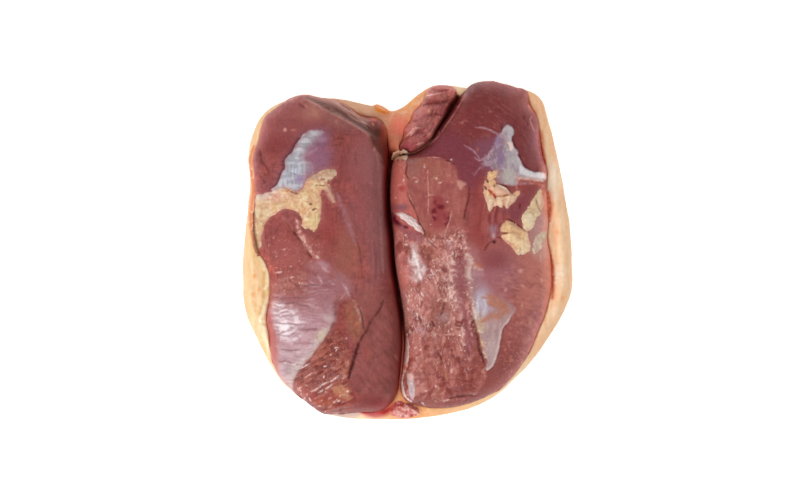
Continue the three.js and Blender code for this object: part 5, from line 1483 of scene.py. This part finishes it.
def paint_skin(s, edge, meat):
    x, y = s.x, s.y
    lumps = cloud(x, y, 7, 3, 211)
    fine = cloud(x, y, 1.6, 2, 214)
    s.shade(1 + 0.03 * lumps + 0.03 * fine)
    s.blend(smooth(0.0, 0.6, cloud(x, y, 5, 2, 215)), (244, 188, 146), 0.4)
    s.blend(smooth(4, 0.5, edge), (250, 222, 186), 0.6)
    right_top = smooth(20, 50, x) * smooth(30, 60, y)
    s.blend(right_top, (244, 202, 160), 0.8)
    s.blend(right_top * smooth(0, 0.5, lumps), (248, 198, 162), 0.4)
    side = smooth(58, 72, x)
    drawn = noise((x + 1.2 * noise(x, y, 9, 226)) / 1.8, y / 13, 1, 224)
    s.blend(side * smooth(0.1, 0.6, drawn), (254, 222, 188), 0.6)
    s.blend(side * smooth(-0.1, -0.6, drawn), (244, 192, 152), 0.6)
    s.rise += side * 0.6 * drawn
    s.blend(side * smooth(8, 2, edge), (232, 184, 140), 0.75)
    pale = smooth(0.0, 0.45, cloud(x, y, 9, 3, 230))
    s.blend(side * pale * smooth(2, 5, edge), (252, 226, 202), 0.6, rise=0.3)
    s.blend(side * smooth(0.0, 0.45, cloud(x, y / 2, 5, 3, 231)), (243, 184, 146), 0.5, rise=-0.2)
    s.blend(smooth(50, 62, x) * smooth(70, 76, y), (236, 182, 138), 0.7)
    corner = smooth(-60, -72, x) * smooth(42, 52, y)
    s.blend(corner, (200, 146, 118), 0.85)
    s.blend(corner * smooth(2.2, 0.8, edge + 0.8 * fine), (232, 204, 182), 0.7)
    left_side = smooth(-66, -78, x) * smooth(12, 2, y)
    combed = noise((x + 1.0 * noise(x, y, 8, 227)) / 1.5, y / 9, 1, 228) * smooth(-60, -74, x)
    s.blend(smooth(-60, -70, x), (243, 202, 156), 0.85)
    s.blend(left_side, (243, 207, 160), 0.6)
    s.blend(left_side * smooth(6, 2, meat), (236, 200, 136), 0.6)
    s.blend(left_side * smooth(2.4, 0.6, meat + 0.8 * fine), (240, 224, 196), 0.7)
    s.blend(smooth(0.2, 0.7, lumps) * smooth(4, 0, edge), (240, 170, 120), 0.3)
    s.rise += 0.45 * lumps + 0.3 * fine + 0.3 * combed
    s.blend(smooth(0.1, 0.6, combed), (252, 222, 176), 0.5)
    s.blend(smooth(-0.1, -0.6, combed), (238, 190, 142), 0.4)
    # Painted shade: a patchy reddish-brown band on the skin where it meets the muscles.
    s.blend(smooth(0.9, 0, meat) * smooth(-0.3, 0.3, cloud(x, y, 6, 2, 229)), (222, 132, 100), 0.6)
    s.blend(smooth(-60, -80, y) * smooth(-20, 0, x) * smooth(30, 16, x), (236, 152, 92), 0.7)
    s.blend(smooth(-76, -84, y) * smooth(4, 12, x), (240, 184, 132), 0.75)
    # Notch skin between the muscles: its own orange colour, painted lighter against the shade between the
    # walls around it.
    notch = smooth(30, 6, x) * smooth(-18, -8, x) * smooth(50, 70, y)
    s.blend(notch, (226, 152, 106), 0.9)
    s.blend(notch * smooth(-0.1, 0.5, cloud(x, y, 5, 3, 216)), (226, 140, 112), 0.65)
    s.blend(notch * smooth(0.1, 0.5, cloud(x, y, 3, 2, 219)), (246, 206, 176), 0.5)
    s.blend(oval(x, y, (2, 82), (10, 3.4), 38), (234, 166, 104), 0.85)
    s.blend(oval(x, y, (-14, 75), (5, 3), -10), (206, 128, 94), 0.85)
    s.rise += notch * 0.7 * cloud(x, y, 3.4, 3, 220)
    s.blend(notch * flecks(x, y, 0.8, 2, 60, 0.1, 217), (240, 190, 164), 0.5, rise=0.2, wet=1)
    s.dab(NOTCH_FLUSH, (6, 7), (222, 122, 104), 0.8, -20)
    s.dab((-9, 55), (3.4, 7), (176, 84, 56), 0.85)
    s.dab((-5, 60), (2.4, 2.2), (206, 146, 112), 0.7)
    s.blend(smooth(-10, -18, x) * smooth(50, 62, y) * smooth(-48, -38, x), (206, 150, 116), 0.75)
    # Painted shadow: a brownish band on the skin below the left muscle's top edge.
    s.stroke([(-26, 75), (-22, 73), (-17, 73.5)], 2.2, (178, 128, 108), 0.5)
    s.fill(ORANGE_BLOB, 1.0, (216, 116, 6), 1.0, 0.5, 218, rise=1.2, wet=0.5)
    # Painted shade: the fissure floor between the flap and the right muscle is painted dark red-brown.
    s.blend(region(x, y, FISSURE, 0.9), (96, 34, 26), 1, wet=0)
    s.dab((25.6, 83.4), (1.6, 1.6), (138, 76, 40), 0.7)
    s.blend(line(x, y, RED_EDGE, 1.3) * smooth(-0.9, -0.1, fine), (218, 120, 84), 0.85)
    s.blend(line(x, y, RED_STREAK, 2.2), (180, 44, 46), 0.95, wet=0.9)
    s.blend(region(x, y, PALE_MEMBRANE, 1.4, 1.0, 222), (208, 176, 166), 0.85)
    s.stroke(FAT_FOLD, 0.6, (214, 164, 104), 0.7, rise=-0.7)
    lumpy = cloud(x, y, 3.0, 2, 213)
    row = line(x, y, FAT_ROW, 2.6, taper=False)
    s.blend(row * smooth(-0.4, 0.3, lumpy), (246, 232, 200), 0.8, rise=0.6, wet=0.8)
    s.blend(row * smooth(0.1, 0.5, -lumpy), (232, 196, 132), 0.7)
    s.rise += 0.8 * row * lumpy
    # Painted light: the skin beside the right muscle is painted paler against the muscle's shadow.
    s.blend(oval(x, y, (79, 39), (5, 11)), (253, 228, 202), 0.85)
    s.dab((83, -14), (5, 9), (251, 222, 192), 0.6)
    for path in CREVICES:
        s.stroke(path, 1.0, (200, 58, 26), 0.9, rise=-0.6)
    # Painted highlights: small wet glints on the right skin.
    for centre in ((81, -15), (83.6, -12.4), (82, -13), (84.6, -13.4), (80.4, -17.6)):
        s.dab(centre, (0.9, 0.6), (253, 238, 218), 0.8, 30, wet=1)
    for centre in ((-84, -24), (-83.4, -14), (-80.6, -21), (84.5, -26), (81.6, 10)):
        s.dab(centre, (1.1, 1.4), (236, 150, 90), 0.5)
    # Cleft floor on the skin: red painted brighter than the flesh against the deep shade there, and lighter
    # still in the lower cleft. From the upper cleft down through the middle it is painted dark as shade.
    s.blend(line(x, y, CLEFT, 5.5, taper=False), CLEFT_FOOT_PAINTED_LIGHT, 1)
    s.blend(line(x, y, CLEFT[4:], 5, taper=False) * smooth(-36, -50, y), (214, 112, 98), 0.9)
    s.blend(line(x, y, CLEFT[:5], 4.5, taper=False) * smooth(54, 46, y), (110, 26, 22), 0.8)
    s.blend(oval(x, y, (6, 56), (10, 4), 38), (150, 76, 68), 0.9)
    s.dab((-6, 57), (5, 4), (198, 114, 90), 0.8)
    s.dab((-8, 52), (3, 3.4), (132, 58, 44), 0.7)


def skin_surface(x, y):
    """Top and bottom height of the skin, and its layers."""
    edge = depth_inside(x, y, SKIN_OUTLINE, 500)
    edge = np.maximum(edge, 0)
    meat = -np.max([depth_inside(x, y, outline, 260) for outline in
                    (LEFT_OUTLINE, RIGHT_OUTLINE, FLAP_OUTLINE)], axis=0)
    s = Layers(x, y, (253, 216, 175), 0.15)
    paint_skin(s, edge, meat)
    seam = SKIN_THICKNESS * 0.52
    round_top = np.sqrt(1 - (1 - np.clip(edge / 4.5, 0, 1))**2)
    round_low = 1 - np.sqrt(1 - (1 - np.clip(edge / 10, 0, 1))**2)
    tissue = smooth(-76, -82, y) * smooth(-16, -11, x) * smooth(12, 8, x)
    fissure = region(x, y, FISSURE, 1.2)
    deep = line(x, y, CLEFT[:5], 4.5, taper=False) * smooth(54, 46, y)
    fissure = np.maximum(fissure, deep)
    bulge = 4 * smooth(UNDER_MEAT, 0.25, meat) * smooth(0, 1, edge / 6) * (1 - 0.8 * tissue) * (1 - fissure)
    bulge *= 1 + 1.8 * oval(x, y, (6, 56), (11, 5), 38) + 1.2 * oval(x, y, (-7, 57), (6, 5))
    bulge *= 1 + line(x, y, CLEFT[4:], 4, taper=False) * smooth(-34, -50, y)
    free = smooth(0, 0.8, meat) * smooth(0, 2, edge)
    top = seam + (SKIN_THICKNESS - seam) * round_top + bulge + free * s.rise
    top = np.where(meat < UNDER_MEAT, np.minimum(top, SKIN_THICKNESS), top)
    low = seam * round_low
    return top, low, s


def build_skin(name, count=760, rings=78):
    edge = spline(SKIN_OUTLINE, count)
    outward = np.roll(edge, 1, axis=0) - np.roll(edge, -1, axis=0)
    outward = np.column_stack([outward[:, 1], -outward[:, 0]])
    outward /= np.linalg.norm(outward, axis=1)[:, None]
    edge = edge + outward * (0.35 * cloud(*edge.T, 9, 3, 221))[:, None]
    core = nearest_on_spine(edge, SKIN_SPINE)
    over = CLOSING * (np.arange(1, rings) / (rings - 1))**1.8
    under = CLOSING * (np.arange(30) / 29)[::-1]**1.4
    plans = [edge + s * (core - edge) for s in (*under, *over)]
    flat = np.vstack(plans)
    top, low, layers = skin_surface(flat[:, 0], flat[:, 1])
    below = len(under) * count
    height = np.concatenate([low[:below], top[below:]])
    outer = slice(0, below - count // 2)
    layers.colour[outer] = (238, 204, 166)
    layers.shade(np.where(np.arange(len(flat)) < below, 1 + 0.05 * cloud(*flat.T, 12, 3, 223), 1))
    layers.blend(region(*flat.T, ORANGE_BLOB, 1.2), (222, 124, 10))
    layers.grain[:] = 0
    layers.grain[:below - count] = 1
    points = np.column_stack([flat, height])
    faces = ring_faces(len(plans), count, SKIN_SPINE, plans[0], plans[-1])
    return make_object(name, points, faces, layers)


# ---- materials ---------------------------------------------------------------------------


def new_material(name):
    made = bpy.data.materials.new(name)
    made.use_nodes = True
    made.node_tree.nodes.clear()
    return made, made.node_tree.nodes, made.node_tree.links


def add_node(nodes, kind, **values):
    """A new shader node; an underscore in an input's name stands for a space."""
    node = nodes.new("ShaderNode" + kind)
    for label, value in values.items():
        node.inputs[label.replace("_", " ")].default_value = value
    return node


def add_attribute(nodes, name):
    node = add_node(nodes, "Attribute")
    node.attribute_name = name
    return node


def flesh_material(name, grain, depth, roughness, scatter, radius, speck=0.12, glint_speckles=0.0):
    """Painted colour with fine grain, pale glint specks painted into it where the grain is coarse, light that
    goes in and comes out, and a wet coat.
    """
    made, nodes, links = new_material(name)
    output = add_node(nodes, "OutputMaterial")
    shader = add_node(
        nodes, "BsdfPrincipled", Subsurface_Weight=scatter, Subsurface_Radius=radius,
        Subsurface_Scale=0.002, Coat_Roughness=0.09, Coat_IOR=1.35, IOR=1.35, Specular_IOR_Level=0.3)
    links.new(shader.outputs["BSDF"], output.inputs["Surface"])

    tint = add_attribute(nodes, "tint")
    place = add_node(nodes, "TexCoord")
    fine = add_node(nodes, "TexNoise", Scale=grain, Detail=5, Roughness=0.65)
    links.new(place.outputs["Object"], fine.inputs["Vector"])
    spread = map_range(nodes, 0.3, 0.7, 1 - speck, 1 + speck)
    links.new(fine.outputs["Fac"], spread.inputs["Value"])
    stain = nodes.new("ShaderNodeVectorMath")
    stain.operation = "SCALE"
    links.new(tint.outputs["Color"], stain.inputs[0])
    links.new(spread.outputs["Result"], stain.inputs["Scale"])
    glare = nodes.new("ShaderNodeMix")
    glare.data_type = "RGBA"
    glare.inputs[7].default_value = (0.82, 0.62, 0.57, 1)
    links.new(stain.outputs["Vector"], glare.inputs[6])
    links.new(glare.outputs[2], shader.inputs["Base Color"])

    wet = add_attribute(nodes, "wet")
    dull = map_range(nodes, 0, 1, roughness, roughness * 0.6)
    links.new(wet.outputs["Fac"], dull.inputs["Value"])
    links.new(dull.outputs["Result"], shader.inputs["Roughness"])
    links.new(wet.outputs["Fac"], shader.inputs["Coat Weight"])

    coarse = add_attribute(nodes, "grain")
    strength = map_range(nodes, 0, 1, 0.4, 1.0)
    links.new(coarse.outputs["Fac"], strength.inputs["Value"])
    speckle = add_node(nodes, "TexNoise", Scale=800, Detail=3, Distortion=1.2)
    links.new(place.outputs["Object"], speckle.inputs["Vector"])
    bright = map_range(nodes, 0.61, 0.68, 0, glint_speckles)
    links.new(speckle.outputs["Fac"], bright.inputs["Value"])
    rough_only = map_range(nodes, 0.5, 1, 0, 1)
    links.new(coarse.outputs["Fac"], rough_only.inputs["Value"])
    share = nodes.new("ShaderNodeMath")
    share.operation = "MULTIPLY"
    links.new(bright.outputs["Result"], share.inputs[0])
    links.new(rough_only.outputs["Result"], share.inputs[1])
    links.new(share.outputs["Value"], glare.inputs[0])
    bump = add_node(nodes, "Bump", Distance=depth)
    links.new(strength.outputs["Result"], bump.inputs["Strength"])
    links.new(fine.outputs["Fac"], bump.inputs["Height"])
    links.new(bump.outputs["Normal"], shader.inputs["Normal"])
    links.new(bump.outputs["Normal"], shader.inputs["Coat Normal"])
    return made


def map_range(nodes, low, high, new_low, new_high):
    return add_node(nodes, "MapRange", From_Min=low, From_Max=high, To_Min=new_low, To_Max=new_high)


def add_pores(made, spacing, depth):
    """Small dimples where feathers grew, on the outer side of the skin."""
    nodes, links = made.node_tree.nodes, made.node_tree.links
    shader = next(node for node in nodes if node.type == "BSDF_PRINCIPLED")
    bump = next(node for node in nodes if node.type == "BUMP")
    outer = next(node for node in nodes if node.type == "ATTRIBUTE" and node.attribute_name == "grain")
    place = next(node for node in nodes if node.type == "TEX_COORD")
    glare = next(node for node in nodes if node.type == "MIX")
    cells = nodes.new("ShaderNodeTexVoronoi")
    cells.voronoi_dimensions = "2D"
    cells.inputs["Scale"].default_value = 1 / (spacing * MM)
    cells.inputs["Randomness"].default_value = 0.6
    links.new(place.outputs["Object"], cells.inputs["Vector"])
    pore = map_range(nodes, 0.06, 0.22, 1, 0)
    links.new(cells.outputs["Distance"], pore.inputs["Value"])
    masked = nodes.new("ShaderNodeMath")
    masked.operation = "MULTIPLY"
    links.new(pore.outputs["Result"], masked.inputs[0])
    links.new(outer.outputs["Fac"], masked.inputs[1])
    tan = nodes.new("ShaderNodeMix")
    tan.data_type = "RGBA"
    tan.inputs[7].default_value = (0.42, 0.25, 0.14, 1)
    links.new(masked.outputs["Value"], tan.inputs[0])
    links.new(glare.outputs[2], tan.inputs[6])
    links.new(tan.outputs[2], shader.inputs["Base Color"])
    dent = add_node(nodes, "Bump", Strength=0.8, Distance=depth)
    dent.invert = True
    links.new(masked.outputs["Value"], dent.inputs["Height"])
    links.new(bump.outputs["Normal"], dent.inputs["Normal"])
    links.new(dent.outputs["Normal"], shader.inputs["Normal"])


MEAT_LOOK = flesh_material("raw_meat", 900, 0.0004, 0.5, 0.1, (1.0, 0.25, 0.18), 0.14, 0.6)
FAT_LOOK = flesh_material("fat", 600, 0.0002, 0.42, 0.25, (1.0, 0.7, 0.45), 0.04)
SKIN_LOOK = flesh_material("duck_skin", 500, 0.0003, 0.45, 0.25, (1.0, 0.6, 0.4), 0.06)
add_pores(SKIN_LOOK, 3.6, 0.0006)
SINEW_LOOK = flesh_material("sinew", 800, 0.0002, 0.3, 0.2, (1.0, 0.6, 0.5), 0.05)


def finish_piece(piece, look, slot, *nodes):
    piece.data.materials.append(look)
    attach(piece, "root")
    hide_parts(*nodes)


# ---- building it all ---------------------------------------------------------------------


def on(muscle):
    return lambda x, y: muscle.surface(x, y)[0]


def tendon_layer(x, y):
    distance, along = path_distance(x, y, TENDON_PATH)
    radius = 0.5 + 1.7 * np.sin(np.pi * np.clip(along, 0.02, 0.98))**0.8 + 0.6 * cloud(x, y, 1.6, 2, 302)
    rise = 1.5 * (1 - (distance / radius)**2)
    fibres = noise(distance / 0.5, along * 6, 1, 301)
    s = Layers(x, y, (232, 214, 210), 0.6)
    s.blend(smooth(0.3, -0.2, fibres), (204, 146, 142), 0.7)
    return np.clip(rise, -1, 2) + 0.3 * fibres, s


def cartilage_layer(x, y):
    rough = cloud(x, y, 1.8, 2, 313)
    depth = depth_inside(x, y, CARTILAGE, 60) + 0.4 * cloud(x, y, 2, 2, 311)
    distance, along = path_distance(x, y, WHITE_STRIP)
    strip = 1.1 - 0.4 * smooth(0.4, 0.6, along) + 0.4 * rough - distance - 0.8 * smooth(0.16, 0, along)
    rise = np.maximum(1.3 * smooth(-0.5, 1.5, depth) - 0.3, 0.9 * strip) + 0.25 * rough
    rise = np.where(np.maximum(depth, strip) < -0.3, -1, rise)
    s = Layers(x, y, (196, 168, 166), 0.7)
    s.blend(smooth(-71, -68.5, y), (224, 176, 164), 0.8)
    s.dab((2, -76), (1.2, 2), (168, 152, 164), 0.7)
    s.blend(smooth(-78, -80.5, y), (176, 128, 140), 0.6)
    s.blend(smooth(0.1, 0.5, rough), (236, 214, 206), 0.6)
    s.blend(smooth(0.6, 0, np.maximum(depth, strip + 0.4)), (176, 96, 88), 0.6)
    s.blend(smooth(0, 0.4, strip) * smooth(-62, -66, y), (240, 206, 196), 0.9)
    s.blend(smooth(0, 0.4, strip) * smooth(-66, -62, y), (214, 172, 162), 0.7)
    s.stroke([(-1.6, -72), (-0.8, -76), (0.4, -79.4)], 0.7, (112, 40, 40), 0.85, rise=-0.6)
    s.dab((-1.4, -63.5), (1.6, 1.6), (206, 96, 76), 0.7)
    return rise, s


TISSUE = [(-10.4, -88), (-8, -84.4), (-5, -81.8), (-1, -83), (4, -84.8), (6.4, -86), (5.5, -89.4),
          (-1, -91.4), (-7, -91)]


def tissue_layer(x, y):
    depth = depth_inside(x, y, TISSUE, 60) + 0.9 * cloud(x, y, 2.4, 3, 321)
    rough = cloud(x, y, 2.2, 2, 322)
    rise = 2.2 * smooth(-0.6, 3, depth) - 0.2 + 1.4 * rough * smooth(0, 1.6, depth)
    rise = np.where(depth < -0.6, -1, rise)
    s = Layers(x, y, (214, 128, 120), 0.9, 0.8)
    s.blend(smooth(0.1, 0.5, rough), (240, 190, 178), 0.8)
    s.blend(smooth(-0.1, -0.5, rough), (186, 72, 70), 0.8)
    s.blend(smooth(-6, -9, x), (196, 70, 68), 0.6)
    s.blend(smooth(0.6, -0.4, depth), (226, 150, 130), 0.6)
    # Painted highlights: small glints.
    s.blend(flecks(x, y, 0.7, 1.2, 30, 0.14, 323), (252, 226, 216), 0.8, rise=0.2)
    return rise, s


def skin_top(x, y):
    return skin_surface(x, y)[0]


finish_piece(build_skin("skin_sheet"), SKIN_LOOK, "skin", "skin")
finish_piece(left.build("left_muscle", 860, 92), MEAT_LOOK, "meat", "left_breast")
finish_piece(right.build("right_muscle", 860, 92), MEAT_LOOK, "meat", "right_breast")
finish_piece(flap.build("flap", 420, 40), MEAT_LOOK, "meat", "flap_muscle")
# The fats: piece, node, muscle, box, step, outline, height, seed, detail and raggedness.
FATS = [
    ("fat_left", "left_fat", left, ((-87, -6), (-36, 47)), 0.32,
     LEFT_FAT, 1.3, 401, left_fat_detail, 0.8),
    ("fat_upper", "right_fat_upper", right, ((38, 17), (64, 46)), 0.3,
     UPPER_FAT, 1.6, 411, upper_fat_detail, 0.5),
    ("fat_rim", "right_fat_rim", right, ((59, 8), (77, 37)), 0.3,
     RIM_FAT, 1.6, 421, rim_fat_detail, 0.6),
    ("fat_middle", "right_fat_middle", right, ((47, -5), (69, 19)), 0.3,
     MIDDLE_FAT, 1.9, 431, middle_fat_detail, 0.6),
    ("fat_edge", "right_fat_edge", right, ((64, -2), (77, 13)), 0.3,
     EDGE_FAT, 0.7, 441, edge_fat_detail, 0.9),
    ("curl", "fat_curl", right, ((-11, 46), (3, 57)), 0.25,
     CURL, 2.2, 451, curl_detail, 0.8),
]
for name, node, muscle, box, step, outline, height, seed, detail, ragged in FATS:
    layer = fat_layer(outline, height, seed, detail, ragged)
    finish_piece(build_patch(name, box, step, on(muscle), layer), FAT_LOOK, "fat", node)


finish_piece(build_patch("tendon_strand", ((-10, 5), (13, 24)), 0.3, on(right), tendon_layer),
             SINEW_LOOK, "sinew", "tendon")
finish_piece(build_patch("keel_gristle", ((-6, -86), (8, -44)), 0.3, on(right), cartilage_layer),
             SINEW_LOOK, "sinew", "cartilage")
finish_piece(build_patch("raw_tissue", ((-11, -93), (9, -78)), 0.35, skin_top, tissue_layer),
             SINEW_LOOK, "tissue", "loose_tissue")

# ---- floor, light and camera -------------------------------------------------------------


def build_floor():
    mesh = bpy.data.meshes.new("floor")
    half = 3.0
    mesh.from_pydata([(-half, -half, 0), (half, -half, 0), (half, half, 0), (-half, half, 0)], [],
                     [(0, 1, 2, 3)])
    floor = bpy.data.objects.new("floor", mesh)
    floor.location.z = -0.0002
    bpy.context.scene.collection.objects.link(floor)
    made, nodes, links = new_material("pale_floor")
    output = add_node(nodes, "OutputMaterial")
    shader = add_node(
        nodes, "BsdfPrincipled", Base_Color=(0.95, 0.95, 0.95, 1), Roughness=0.9,
        Specular_IOR_Level=0.1, Emission_Color=(1, 1, 1, 1), Emission_Strength=0.5)
    links.new(shader.outputs["BSDF"], output.inputs["Surface"])
    mesh.materials.append(made)


def area_light(name, place, size, power, aim=(0, 0, 0.02)):
    lamp = bpy.data.lights.new(name, "AREA")
    lamp.shape = "RECTANGLE"
    lamp.size, lamp.size_y = size
    lamp.energy = power
    light = bpy.data.objects.new(name, lamp)
    light.location = place
    x, y, z = (b - a for a, b in zip(place, aim))
    light.rotation_euler = (math.atan2(math.hypot(x, y), -z), 0, math.atan2(x, -y) + math.pi)
    bpy.context.scene.collection.objects.link(light)


def build_world(strength):
    world = bpy.data.worlds.new("studio")
    world.use_nodes = True
    background = world.node_tree.nodes["Background"]
    background.inputs["Color"].default_value = (1, 1, 1, 1)
    background.inputs["Strength"].default_value = strength
    bpy.context.scene.world = world


MM_PER_PIXEL = 0.544
PHOTO_WIDTH, PHOTO_HEIGHT = 800, 500
MIDDLE_PIXEL = (407.5, 250.5)  # the part's origin in the photograph
CAMERA_HEIGHT = 2.4
MEASURED_HEIGHT = 0.012  # level at which the scale holds


def build_camera():
    lens = bpy.data.cameras.new("camera")
    lens.sensor_width = 36
    span = PHOTO_WIDTH * MM_PER_PIXEL * MM
    lens.lens = lens.sensor_width * (CAMERA_HEIGHT - MEASURED_HEIGHT) / span
    camera = bpy.data.objects.new("camera", lens)
    x = (PHOTO_WIDTH / 2 - MIDDLE_PIXEL[0]) * MM_PER_PIXEL * MM
    y = (MIDDLE_PIXEL[1] - PHOTO_HEIGHT / 2) * MM_PER_PIXEL * MM
    camera.location = (x, y, CAMERA_HEIGHT)
    bpy.context.scene.collection.objects.link(camera)
    bpy.context.scene.camera = camera


build_floor()
build_world(0.5)
area_light("key", (-0.75, -0.6, 1.05), (0.4, 0.4), 10.5)
area_light("fill", (0.7, 0.5, 1.1), (1.0, 1.0), 4.6)
build_camera()
bpy.context.scene.view_settings.view_transform = "Standard"
